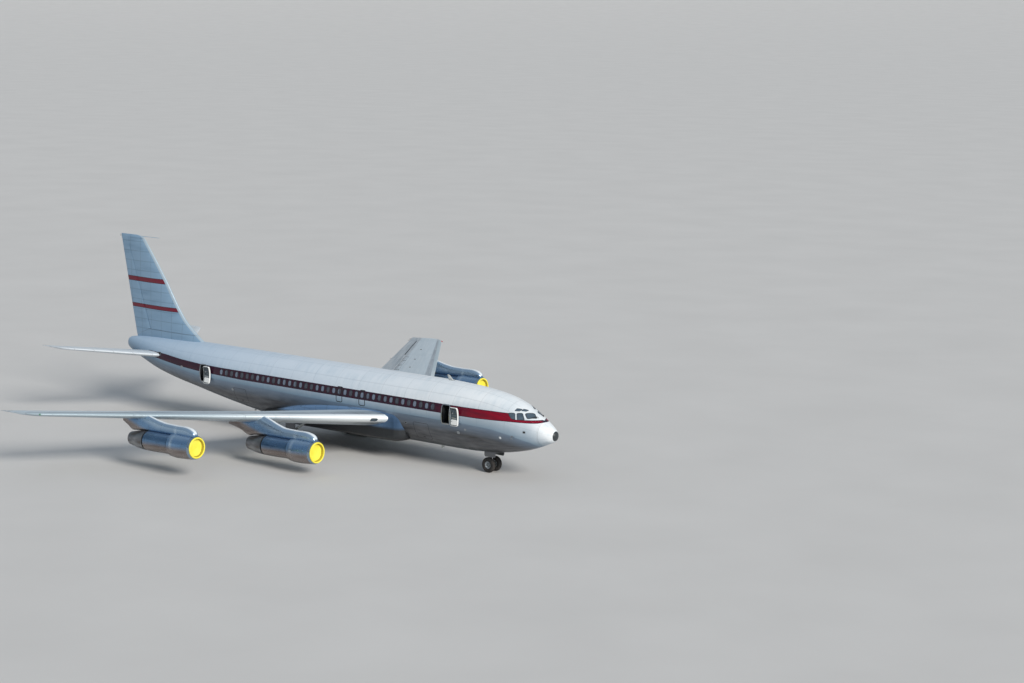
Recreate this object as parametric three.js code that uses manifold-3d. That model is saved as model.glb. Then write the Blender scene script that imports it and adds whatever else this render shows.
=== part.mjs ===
// Four-engined narrow-body airliner parked on its gear, as a 1:2 scale model.
// Sizes are those of the full-size aircraft in millimetres; the last group halves them.
// X points forward, Y to port, Z up. A station is the distance aft of the nose tip.
import * as THREE from 'three';
import { mergeVertices } from 'three/addons/utils/BufferGeometryUtils.js';
import Module from 'manifold-3d';

const wasm = await Module();
wasm.setup();

const modelScale = 0.5;
const seat = 0.3 / modelScale;
const running = 7 / modelScale;

// Driving dimensions
const noseX = 20575;
const span = 39880;
const finTop = 12720;
const bodyPoints = 32;
const profilePoints = 10;
const roundSides = 16;
const nacelleSides = 24;
const wheelSides = 20;
const pinSides = 12;
const noseSteps = 6;

// Fuselage sections. Columns: station, half width, top, bottom, height of the widest place.
const bodyTable = [
  [0, 8, 2998, 2982, 2990],
  [60, 190, 3180, 2800, 2992],
  [250, 400, 3385, 2600, 3000],
  [600, 640, 3640, 2430, 3030],
  [1200, 940, 3990, 2170, 3120],
  [1900, 1220, 4376, 1910, 3230],
  [2400, 1380, 4623, 1770, 3310],
  [2900, 1510, 4835, 1650, 3390],
  [3800, 1680, 5098, 1480, 3510],
  [5000, 1800, 5305, 1335, 3610],
  [6500, 1867, 5445, 1250, 3665],
  [8000, 1880, 5520, 1230, 3680],
  [9500, 1880, 5560, 1230, 3680],
  [24000, 1880, 5560, 1230, 3680],
  [25500, 1880, 5560, 1400, 3680],
  [27500, 1874, 5560, 1690, 3690],
  [29500, 1815, 5558, 2020, 3740],
  [31500, 1680, 5550, 2370, 3830],
  [33500, 1470, 5525, 2690, 3970],
  [35500, 1190, 5475, 3090, 4230],
  [37300, 860, 5390, 3640, 4500],
  [38600, 560, 5275, 4110, 4700],
  [39150, 390, 5180, 4370, 4780],
  [39270, 300, 5120, 4450, 4790],
];
// The lower lobe is a little fuller than an ellipse.
const upperLobe = 2;
const lowerLobe = 2.2;

// Where the fuselage skin is split. Columns: name, first station, last station, colour.
const bodySections = [
  ['radome', 0, 950, 0xe9eaea],
  ['forward_fuselage', 950, 11200, 0xe4e7ea],
  ['centre_fuselage', 11200, 24400, 0xe4e7ea],
  ['aft_fuselage', 24400, 31800, 0xe4e7ea],
  ['tail_fuselage', 31800, 39270, 0xe4e7ea],
];

// Wing root fairing. Columns: station, half width, top, bottom.
const fairingSide = 1950;
const fairingLobe = 5;
const fairingTable = [
  [11250, 1500, 2850, 1500],
  [11600, 1840, 3150, 1330],
  [12200, 2010, 3320, 1215],
  [14500, 2040, 3390, 1190],
  [17500, 2040, 3180, 1190],
  [20500, 2040, 2740, 1190],
  [22300, 2010, 2260, 1200],
  [23400, 1800, 1980, 1240],
  [24350, 1300, 1820, 1330],
];

// Wing planform and height: the leading edge from the centre line out, the trailing edge from the tip in.
const wingLeading = { station: 10870, sweep: 0.77, height: 2690, rise: 0.0615 };
const wingKink = 7300;
const wingRound = { reach: 19200, radius: 1600 };
const wingTrailing = { station: 29220, sweep: 0.498, height: 3800, rise: 0.107 };
const wingInnerTrailing = { sweep: 0.27, rise: 0.1 };
const wingTip = span / 2;
// Columns: distance from the centre line, thickness as a share of the chord.
const wingSections = [
  [fairingSide + seat, 0.112],
  [4300, 0.113],
  [wingKink, 0.112],
  [11000, 0.107],
  [15000, 0.101],
  [19200, 0.096],
  [19700, 0.08],
  [wingTip, 0.03],
];

// Half the thickness left at a trailing edge.
const edgeHalf = 5;

// Panels along the trailing edge. Flaps run out on curved tracks and are fixed here. Square ends stand
// across the hinge line. Columns: name, inner end, outer end, hinge as a share of the chord, moving, square.
const trailingPanels = [
  ['inboard_flap', 2150, 7050, 0.74, false, false],
  ['inboard_aileron', 7750, 9300, 0.79, true, true],
  ['outboard_flap', 9400, 14500, 0.76, false, true],
  ['outboard_aileron', 14900, 18900, 0.77, true, true],
];
const bayDepth = 1500;
const bayRun = 3000;

const engineDroop = 0.025;
// Profiles from the inlet aft. Columns: distance aft of the inlet, radius.
const fanCowlOuter = [[0, 690], [35, 722], [140, 752], [600, 782], [1400, 800], [2050, 788], [2380, 752]];
const fanCowlInner = [[2380, 735], [2100, 715], [2060, 620], [180, 620], [60, 640]];
const coreOuter = [
  [300, 0], [300, 619], [2060, 619], [2120, 650], [2382, 655], [3300, 655], [4300, 640], [4850, 600], [6050, 395],
];
const coreInner = [[6050, 365], [5650, 350], [5650, 0]];
// An inlet cover is a dish with a rim that laps over the inlet's lip.
const coverOuter = [
  [60, 0], [60, 565], [-80, 585], [-80, 640], [-50, 676], [-6, 676], [-6, 619], [280, 619], [280, 0],
];

// Pylon sections. Columns: distance aft of the inlet, half width, top and bottom above the inlet's centre.
const outboardPylon = [
  [40, 150, 900, 640],
  [150, 240, 1030, 600],
  [420, 310, 1160, 600],
  [900, 330, 1230, 600],
  [1700, 310, 1215, 600],
  [2550, 280, 1225, 560],
  [3350, 255, 1320, 540],
  [4200, 235, 1490, 520],
  [4750, 210, 1560, 480],
  [5300, 180, 1330, 440],
  [5800, 130, 1250, 400],
  [6250, 80, 1200, 640],
  [6750, 25, 1140, 880],
];
const inboardPylon = [
  ...outboardPylon.slice(0, 6),
  [3300, 255, 1385, 540],
  [4300, 235, 1700, 520],
  [5000, 220, 1820, 470],
  [5500, 200, 1560, 420],
  [5900, 170, 1400, 330],
  [6800, 110, 1280, 650],
  [7850, 25, 1180, 850],
];
// A pylon is full at its foot and narrows to a crest.
const pylonPoints = 16;
const pylonFoot = 0.7;
const pylonCrest = 1.25;

// Engines. Columns: name, side, distance from the centre line, inlet station, inlet height, pylon.
const engines = [
  ['engine_1', 1, 14100, 17500, 2070, outboardPylon],
  ['engine_2', 1, 8320, 12720, 1510, inboardPylon],
  ['engine_3', -1, 8320, 12720, 1510, inboardPylon],
  ['engine_4', -1, 14100, 17500, 2070, outboardPylon],
];

// Fin and rudder. Columns: height, leading edge station, hinge station, trailing edge station, thickness.
const finTable = [
  [5000, 30600, 36700, 38450, 640],
  [5650, 31700, 36960, 38640, 600],
  [6250, 32560, 37180, 38760, 560],
  [6960, 33420, 37440, 38900, 520],
  [9870, 35550, 38500, 39500, 380],
  [12300, 37480, 39370, 40030, 240],
  [12600, 37760, 39480, 40100, 160],
  [finTop, 38300, 39520, 40120, 40],
];
const rudder = { foot: 5980, head: 12480 };
const probeHeight = 12640;
const probeTip = 36000;
const probeRoot = 38100;
const probeRadius = 22;

// Stabilizer planform, like the wing's.
const tailLeading = { station: 33950, sweep: 0.74, height: 4230, rise: 0.13 };
const tailTrailing = { station: 2 * noseX, sweep: 0.42 };
const tailTip = 6730;
const tailRound = { reach: 6300, radius: 700 };
// Columns: distance from the centre line, thickness as a share of the chord.
const tailSections = [[250, 0.1], [2500, 0.1], [6300, 0.09], [6600, 0.07], [tailTip, 0.02]];
const elevator = { inner: 1350, outer: 6350, hinge: 0.69 };

// Landing gear
const noseGear = { station: 5220, wheelRadius: 495, wheelWidth: 300, track: 330, hub: 210 };
const noseLeg = { radius: 95, bottom: 1080, braceRadius: 45, braceLow: 1350, braceHigh: 2080, braceOver: 100 };
const noseFork = { stem: 70, collar: 120, collarDrop: 90, hub: 90 };
const noseWell = { first: 4560, last: 5560, half: 430, floor: 900, roof: 2350 };
const noseDoor = { plate: 30, gap: 20, last: 5480, low: 1040, high: 1700 };
const towFitting = { start: 40, ahead: 160, half: 45, low: 620, high: 700 };
const mainGear = { station: 19650, side: 3365, wheelRadius: 585, wheelWidth: 370, track: 440, hub: 255 };
const mainLeg = { radius: 140, top: 2150, bottom: 1050, piston: 100, lap: 10 };
const sideStay = { radius: 55, low: 1180, high: 1750, inside: 400 };
const dragStay = { radius: 60, low: 1250, ahead: 1500 };
// The yoke's heights are above the axles.
const yoke = { half: 110, wide: 160, low: 215, high: 290 };
const yokeCheek = { foot: -110, top: 260, side: 135, half: 25 };
const bogie = 710;
const bogieBeam = { half: 110, deep: 95, beyond: 60, hubReach: 200, hubRadius: 110 };
const mainDoor = { out: 190, plate: 35, half: 420, low: 1260, armHeight: 1450, armRadius: 40, armStart: 100 };
const axleRadius = 45;
const boreRadius = 47;
// Wheels. The hub's face is a share of the width, the tyre's points are shares of the width and the radius.
const hubFace = 0.3;
const beadStep = 30;
const tyreShape = [[0.5, 0.84], [0.38, 0.96], [0.2, 1]];

// Service doors stand open to starboard, entry doors are shut to port.
// Columns: name, side, first station, last station, sill, head, open, hinge ahead of the doorway.
const doorTable = [
  ['service_door_forward', -1, 7270, 7880, 3080, 4290, true, 140],
  ['service_door_aft', -1, 29540, 30150, 3120, 4330, true, 10],
  ['entry_door_forward', 1, 4700, 5560, 3080, 4900, false, 0],
  ['entry_door_aft', 1, 30150, 31010, 3200, 4900, false, 0],
];
const doorThick = 120;
const doorwayDepth = 900;
const cutMargin = 200;
const hingeOut = 50;
const hingeArm = { half: 35, fromEnds: 300, beyond: 90, root: 1500 };
const beyondBody = 2200;

// Flat pads that a jack lifts by
const padRadius = 70;
const nosePad = { station: 6450, top: 1330, foot: 1205 };
const wingPad = { station: 18100, reach: 6200, top: 2700, foot: 2380 };
const hingePinRadius = 16;
const hingePinRoot = 60;

const row = (station) => noseX - station;
const airliner = new THREE.Group();
airliner.scale.setScalar(modelScale);

function paint(color, roughness, metalness) {
  return new THREE.MeshStandardMaterial({ color, roughness, metalness });
}

// A closed triangle list becomes a solid that can be joined and cut.
function solidFrom(vertProperties, triVerts) {
  const solid = new wasm.Manifold(new wasm.Mesh({ numProp: 3, vertProperties, triVerts }));
  return solid.volume() < 0 ? solid.mirror([0, 0, 0]) : solid;
}

function solidOf(geometry) {
  const bare = geometry.clone();
  bare.deleteAttribute('normal');
  bare.deleteAttribute('uv');
  const merged = mergeVertices(bare, 0.01);
  const corners = Array.from(merged.index.array);
  const triangles = [];
  for (let i = 0; i < corners.length; i += 3) {
    const [a, b, c] = corners.slice(i, i + 3);
    if (a !== b && b !== c && c !== a) triangles.push(a, b, c);
  }
  return solidFrom(new Float32Array(merged.attributes.position.array), new Uint32Array(triangles));
}

function place(name, solid, material) {
  const { vertProperties, triVerts } = solid.getMesh();
  const geometry = new THREE.BufferGeometry();
  geometry.setAttribute('position', new THREE.BufferAttribute(new Float32Array(vertProperties), 3));
  geometry.setIndex(new THREE.BufferAttribute(new Uint32Array(triVerts), 1));
  geometry.computeVertexNormals();
  const mesh = new THREE.Mesh(geometry, material);
  mesh.name = name;
  airliner.add(mesh);
}

// Skins a row of closed rings with equal counts and closes both ends with a fan.
function loft(rings) {
  const count = rings[0].length;
  const points = rings.flat();
  const triangles = [];
  for (let i = 0; i + 1 < rings.length; i += 1) {
    for (let j = 0; j < count; j += 1) {
      const a = i * count + j;
      const b = i * count + ((j + 1) % count);
      triangles.push([a, b, b + count], [a, b + count, a + count]);
    }
  }
  for (const [first, turn] of [[0, true], [(rings.length - 1) * count, false]]) {
    const middle = points.length;
    const ring = points.slice(first, first + count);
    points.push([0, 1, 2].map((axis) => ring.reduce((sum, point) => sum + point[axis], 0) / count));
    for (let j = 0; j < count; j += 1) {
      const pair = [first + j, first + ((j + 1) % count)];
      triangles.push(turn ? [middle, pair[1], pair[0]] : [middle, pair[0], pair[1]]);
    }
  }
  const volume = triangles.reduce((sum, [a, b, c]) => {
    const [p, q, r] = [points[a], points[b], points[c]];
    return sum + p[0] * (q[1] * r[2] - q[2] * r[1]) + p[1] * (q[2] * r[0] - q[0] * r[2])
      + p[2] * (q[0] * r[1] - q[1] * r[0]);
  }, 0);
  const facing = volume < 0 ? triangles.map(([a, b, c]) => [a, c, b]) : triangles;
  return solidFrom(new Float32Array(points.flat()), new Uint32Array(facing.flat()));
}

function box(x0, x1, y0, y1, z0, z1) {
  const geometry = new THREE.BoxGeometry(Math.abs(x1 - x0), Math.abs(y1 - y0), Math.abs(z1 - z0));
  geometry.translate((x0 + x1) / 2, (y0 + y1) / 2, (z0 + z1) / 2);
  return solidOf(geometry);
}

// A round bar between two points.
function bar(from, to, radius, sides = roundSides) {
  const start = new THREE.Vector3(...from);
  const reach = new THREE.Vector3(...to).sub(start);
  const geometry = new THREE.CylinderGeometry(radius, radius, reach.length(), sides);
  geometry.translate(0, reach.length() / 2, 0);
  geometry.applyQuaternion(new THREE.Quaternion().setFromUnitVectors(
    new THREE.Vector3(0, 1, 0), reach.clone().normalize()));
  geometry.translate(...start);
  return solidOf(geometry);
}

// Turns a profile of [distance, radius] about an axis that runs aft and droops a little.
function turnedAft(profile, x, y, z) {
  const points = profile.map(([along, radius]) => new THREE.Vector2(radius, along));
  const closed = profile[0][1] === 0 ? points : [...points, points[0]];
  const geometry = new THREE.LatheGeometry(closed, nacelleSides);
  geometry.rotateZ(Math.PI / 2);
  geometry.rotateY(-Math.atan(engineDroop));
  geometry.translate(x, y, z);
  return solidOf(geometry);
}

// Turns a profile of [distance across, radius] about an axle along Y, with a flat facet underneath.
function turnedAcross(profile, x, y, z, sides) {
  const outside = 1 / Math.cos(Math.PI / sides);
  const points = profile.map(([along, radius]) => new THREE.Vector2(radius * outside, along));
  const geometry = new THREE.LatheGeometry(points, sides, Math.PI / sides);
  geometry.translate(x, y, z);
  return solidOf(geometry);
}

// Smooth value of one column of a table at a station, by a slope-limited cubic.
function smooth(table, column, at) {
  const last = table.length - 2;
  const found = table.findIndex((entry) => entry[0] > at) - 1;
  const i = found < 0 ? (at <= table[0][0] ? 0 : last) : found;
  const slope = (k) => (table[k + 1][column] - table[k][column]) / (table[k + 1][0] - table[k][0]);
  const tangent = (k) => {
    if (k <= 0) return slope(0);
    if (k > last) return slope(last);
    const [before, after] = [slope(k - 1), slope(k)];
    return before * after <= 0 ? 0 : (2 * before * after) / (before + after);
  };
  const width = table[i + 1][0] - table[i][0];
  const t = Math.min(1, Math.max(0, (at - table[i][0]) / width));
  const [start, end] = [table[i][column], table[i + 1][column]];
  return start * (2 * t ** 3 - 3 * t ** 2 + 1) + end * (3 * t ** 2 - 2 * t ** 3)
    + width * (tangent(i) * (t ** 3 - 2 * t ** 2 + t) + tangent(i + 1) * (t ** 3 - t ** 2));
}

// One fuselage section: an ellipse above the widest place and a fuller lobe below it.
function bodyRing(station, grow = 0) {
  const [half, top, bottom, waist] = [1, 2, 3, 4].map((column) => smooth(bodyTable, column, station));
  return Array.from({ length: bodyPoints }, (_, k) => {
    const angle = (2 * Math.PI * k) / bodyPoints;
    const [c, s] = [Math.cos(angle), Math.sin(angle)];
    const power = 2 / (s < 0 ? lowerLobe : upperLobe);
    const reach = (s < 0 ? waist - bottom : top - waist) + grow;
    return [
      row(station),
      (half + grow) * Math.sign(c) * Math.abs(c) ** power,
      waist + reach * Math.sign(s) * Math.abs(s) ** power,
    ];
  });
}

const bodyStations = [...new Set([...bodyTable.map(([station]) => station),
  ...bodySections.map(([, first]) => first)])].sort((a, b) => a - b);

function bodySolid(first, last, grow = 0) {
  const inner = bodyStations.filter((station) => station > first + 1 && station < last - 1);
  return loft([first, ...inner, last].map((station) => bodyRing(station, grow)));
}

// The fairing's sides are flat where the wing's root meets them.
function fairingSolid() {
  return loft(fairingTable.map(([station, half, top, bottom]) => Array.from({ length: bodyPoints }, (_, k) => {
    const angle = (2 * Math.PI * k) / bodyPoints;
    const [c, s] = [Math.cos(angle), Math.sin(angle)];
    const y = half * Math.sign(c) * Math.abs(c) ** (2 / fairingLobe);
    const z = (top + bottom) / 2 + ((top - bottom) / 2) * Math.sign(s) * Math.abs(s) ** (2 / fairingLobe);
    return [row(station), Math.min(fairingSide, Math.max(-fairingSide, y)), z];
  })));
}

// Half thickness of a wing section at a share of its chord, as a share of the section's thickness.
function halfThickness(share) {
  return 5 * (0.2969 * Math.sqrt(share) - 0.126 * share - 0.3516 * share ** 2 + 0.2843 * share ** 3
    - 0.1036 * share ** 4);
}

// Points around a wing section from the trailing edge over the top and back underneath.
function sectionShares() {
  const turns = Array.from({ length: profilePoints + 1 }, (_, k) => (Math.PI * k) / profilePoints);
  const steps = turns.map((turn) => (1 + Math.cos(turn)) / 2);
  const upper = steps.map((share) => [share, 1]);
  const lower = steps.slice(1, -1).reverse().map((share) => [share, -1]);
  return [...upper, ...lower, [1, -1]];
}

// Points of a wing section as [distance along X, height], between a leading and a trailing edge point.
function sectionPoints(front, rear, thickness, grow = 0) {
  const chord = front[0] - rear[0];
  return sectionShares().map(([share, face]) => {
    const middle = front[1] + (rear[1] - front[1]) * share;
    const half = share === 0 ? 0 : halfThickness(share) * thickness + edgeHalf + grow;
    return [front[0] + grow - (chord + 2 * grow) * share, middle + face * half];
  });
}

function wingEdges(reach) {
  const kinkStation = wingTrailing.station - wingTrailing.sweep * (wingTip - wingKink);
  const kinkHeight = wingTrailing.height - wingTrailing.rise * (wingTip - wingKink);
  const outside = reach >= wingKink;
  const rearStation = outside ? wingTrailing.station - wingTrailing.sweep * (wingTip - reach)
    : kinkStation - wingInnerTrailing.sweep * (wingKink - reach);
  const rearHeight = outside ? wingTrailing.height - wingTrailing.rise * (wingTip - reach)
    : kinkHeight - wingInnerTrailing.rise * (wingKink - reach);
  const tipCut = Math.max(0, reach - wingRound.reach) ** 2 / wingRound.radius;
  const frontStation = wingLeading.station + wingLeading.sweep * reach + tipCut;
  return {
    front: [row(frontStation), wingLeading.height + wingLeading.rise * reach],
    rear: [row(rearStation), rearHeight],
  };
}

function tailEdges(reach) {
  const tipCut = Math.max(0, reach - tailRound.reach) ** 2 / tailRound.radius;
  const height = tailLeading.height + tailLeading.rise * reach;
  return {
    front: [row(tailLeading.station + tailLeading.sweep * reach + tipCut), height],
    rear: [row(tailTrailing.station - tailTrailing.sweep * (tailTip - reach)), height],
  };
}

// A swept surface lofted from sections in planes of constant Y.
function planeSolid(edges, sections, side, grow = 0) {
  return loft(sections.map(([reach, share]) => {
    const { front, rear } = edges(reach);
    return sectionPoints(front, rear, share * (front[0] - rear[0]), grow).map(([x, z]) => [x, side * reach, z]);
  }));
}

// The hinge point, trailing edge point and half thickness at the hinge, at a distance along a surface.
function hingeOn(edges, sections, side, share) {
  return (reach) => {
    const { front, rear } = edges(reach);
    const chord = front[0] - rear[0];
    const height = front[1] + (rear[1] - front[1]) * share;
    return {
      pivot: new THREE.Vector3(front[0] - chord * share, side * reach, height),
      tail: new THREE.Vector3(rear[0], side * reach, rear[1]),
      half: halfThickness(share) * smooth(sections, 1, reach) * chord + edgeHalf,
    };
  };
}

// Both ends of a panel: its hinge point, the way aft to its trailing edge, and the hinge line's direction.
function panelEnds(hingeAt, inner, outer, square) {
  const ends = [hingeAt(inner), hingeAt(outer)];
  const axis = ends[1].pivot.clone().sub(ends[0].pivot).normalize();
  const edge = ends[1].tail.clone().sub(ends[0].tail);
  return ends.map(({ pivot, tail, half }) => {
    const slide = square ? axis.dot(pivot.clone().sub(tail)) / axis.dot(edge) : 0;
    const rear = tail.clone().addScaledVector(edge, slide);
    return { pivot, rear, half, axis, aft: rear.clone().sub(pivot).normalize() };
  });
}

// A panel's section: a round nose about the hinge point that narrows to the trailing edge.
function panelSection({ pivot, rear, half, axis, aft }) {
  const up = axis.clone().cross(aft).normalize();
  const nose = Array.from({ length: noseSteps + 1 }, (_, k) => {
    const angle = Math.PI / 2 + (Math.PI * k) / noseSteps;
    return pivot.clone().addScaledVector(aft, half * Math.cos(angle))
      .addScaledVector(up, half * Math.sin(angle));
  });
  const edge = [-edgeHalf, edgeHalf].map((lift) => rear.clone().addScaledVector(up, lift));
  return [...nose, ...edge].map((point) => point.toArray());
}

// The space that a panel fills, grown by a gap at both ends, from a distance ahead of the hinge line aft.
function panelBay(ends, ahead, gap) {
  const [near, far] = ends;
  const up = near.axis.clone().cross(near.aft.clone().add(far.aft)).normalize();
  const corner = ({ pivot, axis, aft }, back, out) => {
    const lean = axis.clone().cross(aft).length();
    return pivot.clone().addScaledVector(aft, back / lean).addScaledVector(axis, out / lean);
  };
  const outline = [
    corner(near, -ahead(near), -gap),
    corner(far, -ahead(far), gap),
    corner(far, bayRun, gap),
    corner(near, bayRun, -gap),
  ];
  return loft([-bayDepth, bayDepth].map((lift) => outline
    .map((point) => point.clone().addScaledVector(up, lift).toArray())));
}

// A surface that turns on the hinge line, with a pin at each end that reaches nearly to its bay's wall.
function hingedPanel(ends) {
  const pin = ({ pivot, axis }, way) => bar(
    pivot.clone().addScaledVector(axis, way * hingePinRoot).toArray(),
    pivot.clone().addScaledVector(axis, way * (seat - running)).toArray(), hingePinRadius, pinSides);
  return loft(ends.map(panelSection)).add(pin(ends[0], 1)).add(pin(ends[1], -1));
}

// The fin stands on the crown, and its sections lie flat.
function finRing([height, leading, , trailing, thickness]) {
  return sectionPoints([row(leading), 0], [row(trailing), 0], thickness)
    .map(([x, across]) => [x, across, height]);
}

const skinPaint = paint(0xe4e7ea, 0.38, 0.05);
const metal = paint(0xb9bfc4, 0.38, 0.75);
const greyPaint = paint(0xb9c4d2, 0.42, 0.1);
const gearPaint = paint(0xa9adb0, 0.45, 0.35);
const tyreRubber = paint(0x17181a, 0.85, 0);
const coverCanvas = paint(0xe8d61f, 0.75, 0);

const bodyEnd = bodyTable.at(-1)[0];
const bodyWithSeat = bodySolid(0, bodyEnd, seat);

// Fuselage sections, with doorways, door recesses and the nose gear's well cut in them.
function doorway([, side, first, last, sill, head, open]) {
  const depth = open ? doorwayDepth : doorThick + seat;
  const outside = box(row(last), row(first), side * doorwayDepth, side * beyondBody, sill, head);
  return outside.subtract(bodySolid(first - cutMargin, last + cutMargin, -depth));
}

function doorPanel([, side, first, last, sill, head]) {
  const outline = box(row(last) + seat, row(first) - seat, side * doorwayDepth, side * beyondBody,
    sill + seat, head - seat);
  const [from, to] = [first - cutMargin, last + cutMargin];
  return bodySolid(from, to).intersect(outline).subtract(bodySolid(from, to, -doorThick));
}

// A flat-bottomed round pad that stands a little below the skin.
function jackPad({ station, top, foot }, y) {
  return bar([row(station), y, top], [row(station), y, foot], padRadius);
}

for (const [name, first, last, color] of bodySections) {
  const from = first === 0 ? first : first + seat / 2;
  const to = last === bodyEnd ? last : last - seat / 2;
  let section = bodySolid(from, to);
  if (name === 'centre_fuselage') section = section.add(fairingSolid());
  if (name === 'forward_fuselage') {
    section = section.add(jackPad(nosePad, 0)).subtract(
      box(row(noseWell.last), row(noseWell.first), -noseWell.half, noseWell.half, noseWell.floor, noseWell.roof));
  }
  for (const door of doorTable.filter((entry) => entry[2] > first && entry[3] < last)) {
    section = section.subtract(doorway(door));
  }
  place(name, section, name === 'radome' ? paint(color, 0.45, 0) : skinPaint);
}

// An open door has swung half a turn about its forward edge and lies ahead of its doorway on two arms.
for (const door of doorTable) {
  const [name, , first, , sill, head, open, swing] = door;
  let panel = doorPanel(door);
  if (open) {
    const hinge = row(first) + swing;
    const beside = smooth(bodyTable, 1, first) + hingeOut;
    panel = panel.rotate([0, 0, 180]).translate([2 * hinge, -2 * beside, 0]);
    for (const height of [sill + hingeArm.fromEnds, head - hingeArm.fromEnds]) {
      const arm = box(hinge, hinge + swing + hingeArm.beyond, -beside - doorThick, -hingeArm.root,
        height - hingeArm.half, height + hingeArm.half);
      panel = panel.add(arm.subtract(bodyWithSeat));
    }
  }
  place(name, panel, skinPaint);
}

const sides = [['port', 1], ['starboard', -1]];
const clearOfHinge = ({ half }) => half + running;

// Wings with their trailing panels
for (const [label, side] of sides) {
  const bare = planeSolid(wingEdges, wingSections, side);
  let wing = bare.add(jackPad(wingPad, side * wingPad.reach));
  for (const [name, inner, outer, share, moving, square] of trailingPanels) {
    const ends = panelEnds(hingeOn(wingEdges, wingSections, side, share), inner, outer, square);
    wing = wing.subtract(moving ? panelBay(ends, clearOfHinge, running) : panelBay(ends, () => seat, seat));
    place(`${label}_${name}`, moving ? hingedPanel(ends) : bare.intersect(panelBay(ends, () => 0, 0)), metal);
  }
  place(`${label}_wing`, wing, metal);
}

// Stabilizers and elevators
for (const [label, side] of sides) {
  const { inner, outer, hinge } = elevator;
  const ends = panelEnds(hingeOn(tailEdges, tailSections, side, hinge), inner, outer, true);
  const plane = planeSolid(tailEdges, tailSections, side).subtract(bodyWithSeat)
    .subtract(panelBay(ends, clearOfHinge, running));
  place(`${label}_stabilizer`, plane, greyPaint);
  place(`${label}_elevator`, hingedPanel(ends), greyPaint);
}

// Fin and rudder
function finHingeAt(height) {
  const [leading, hinge, trailing, thickness] = [1, 2, 3, 4].map((column) => smooth(finTable, column, height));
  const share = (hinge - leading) / (trailing - leading);
  return {
    pivot: new THREE.Vector3(row(hinge), 0, height),
    tail: new THREE.Vector3(row(trailing), 0, height),
    half: halfThickness(share) * thickness + edgeHalf,
  };
}

const rudderEnds = panelEnds(finHingeAt, rudder.foot, rudder.head, true);
const probe = bar([row(probeRoot), 0, probeHeight], [row(probeTip), 0, probeHeight], probeRadius, pinSides);
place('fin', loft(finTable.map(finRing)).subtract(bodyWithSeat)
  .subtract(panelBay(rudderEnds, clearOfHinge, running)).add(probe), greyPaint);
place('rudder', hingedPanel(rudderEnds), greyPaint);

// Engines on their pylons, with the inlets covered
const grown = (profile) => profile.map(([along, radius]) => [along, radius + seat]);
const cowlEnd = fanCowlOuter.at(-1);
const coreBehind = coreOuter.filter(([along]) => along > cowlEnd[0]);
const nozzleEnd = coreOuter.at(-1);
const nacelleOutline = [
  [-seat, 0], [-seat, fanCowlOuter[0][1]], ...grown(fanCowlOuter), [cowlEnd[0] + seat, cowlEnd[1] + seat],
  [cowlEnd[0] + seat, coreBehind[0][1] + seat], ...grown(coreBehind.slice(1)),
  [nozzleEnd[0] + seat, nozzleEnd[1]], [nozzleEnd[0] + seat, 0],
];

function pylonSolid(table, x, y, z) {
  return loft(table.map(([aft, half, top, bottom]) => Array.from({ length: pylonPoints }, (_, k) => {
    const angle = (2 * Math.PI * k) / pylonPoints;
    const [c, s] = [Math.cos(angle), Math.sin(angle)];
    const power = s < 0 ? pylonFoot : pylonCrest;
    return [
      x - aft,
      y + half * Math.sign(c) * Math.abs(c) ** power,
      z + (top + bottom) / 2 + ((top - bottom) / 2) * Math.sign(s) * Math.abs(s) ** pylonFoot,
    ];
  })));
}

for (const [name, side, reach, station, height, table] of engines) {
  const spot = [row(station), side * reach, height];
  const pylon = pylonSolid(table, ...spot)
    .subtract(turnedAft(nacelleOutline, ...spot))
    .subtract(planeSolid(wingEdges, wingSections, side, seat));
  place(`${name}_pylon`, pylon, metal);
  place(`${name}_fan_cowl`, turnedAft([...fanCowlOuter, ...fanCowlInner], ...spot), metal);
  place(`${name}_core`, turnedAft([...coreOuter, ...coreInner], ...spot), metal);
  place(`${name}_inlet_cover`, turnedAft(coverOuter, ...spot), coverCanvas);
}

// A wheel's profile across its axle: a hub recessed in both faces and a tyre with round shoulders.
function wheelProfile({ wheelRadius, wheelWidth, hub }) {
  const half = [
    [hubFace, 0], [hubFace, hub / wheelRadius], [tyreShape[0][0], (hub + beadStep) / wheelRadius], ...tyreShape,
  ].map(([across, out]) => [across * wheelWidth, out * wheelRadius]);
  return [...half.map(([across, out]) => [-across, out]), ...half.reverse()];
}

function twinWheels(gear, x, y) {
  const wheel = (offset) => turnedAcross(wheelProfile(gear), x, y + offset, gear.wheelRadius, wheelSides);
  const axle = bar([x, y - gear.track, gear.wheelRadius], [x, y + gear.track, gear.wheelRadius], axleRadius);
  return wheel(-gear.track).add(wheel(gear.track)).add(axle);
}

// Nose gear: the leg in its well, the turning fork below it and the twin wheels
const noseAt = row(noseGear.station);
const wellFront = row(noseWell.first);
const axleLine = noseGear.wheelRadius;
const wellWithSeat = box(row(noseWell.last), wellFront - seat, -noseWell.half, noseWell.half,
  noseLeg.bottom, noseWell.roof);
const braceEnd = [wellFront + noseLeg.braceOver, 0, noseLeg.braceHigh];
const noseBrace = bar([noseAt, 0, noseLeg.braceLow], braceEnd, noseLeg.braceRadius, pinSides)
  .intersect(wellWithSeat);
place('nose_gear_leg', bar([noseAt, 0, noseWell.roof - seat], [noseAt, 0, noseLeg.bottom], noseLeg.radius)
  .add(noseBrace), gearPaint);

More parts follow.
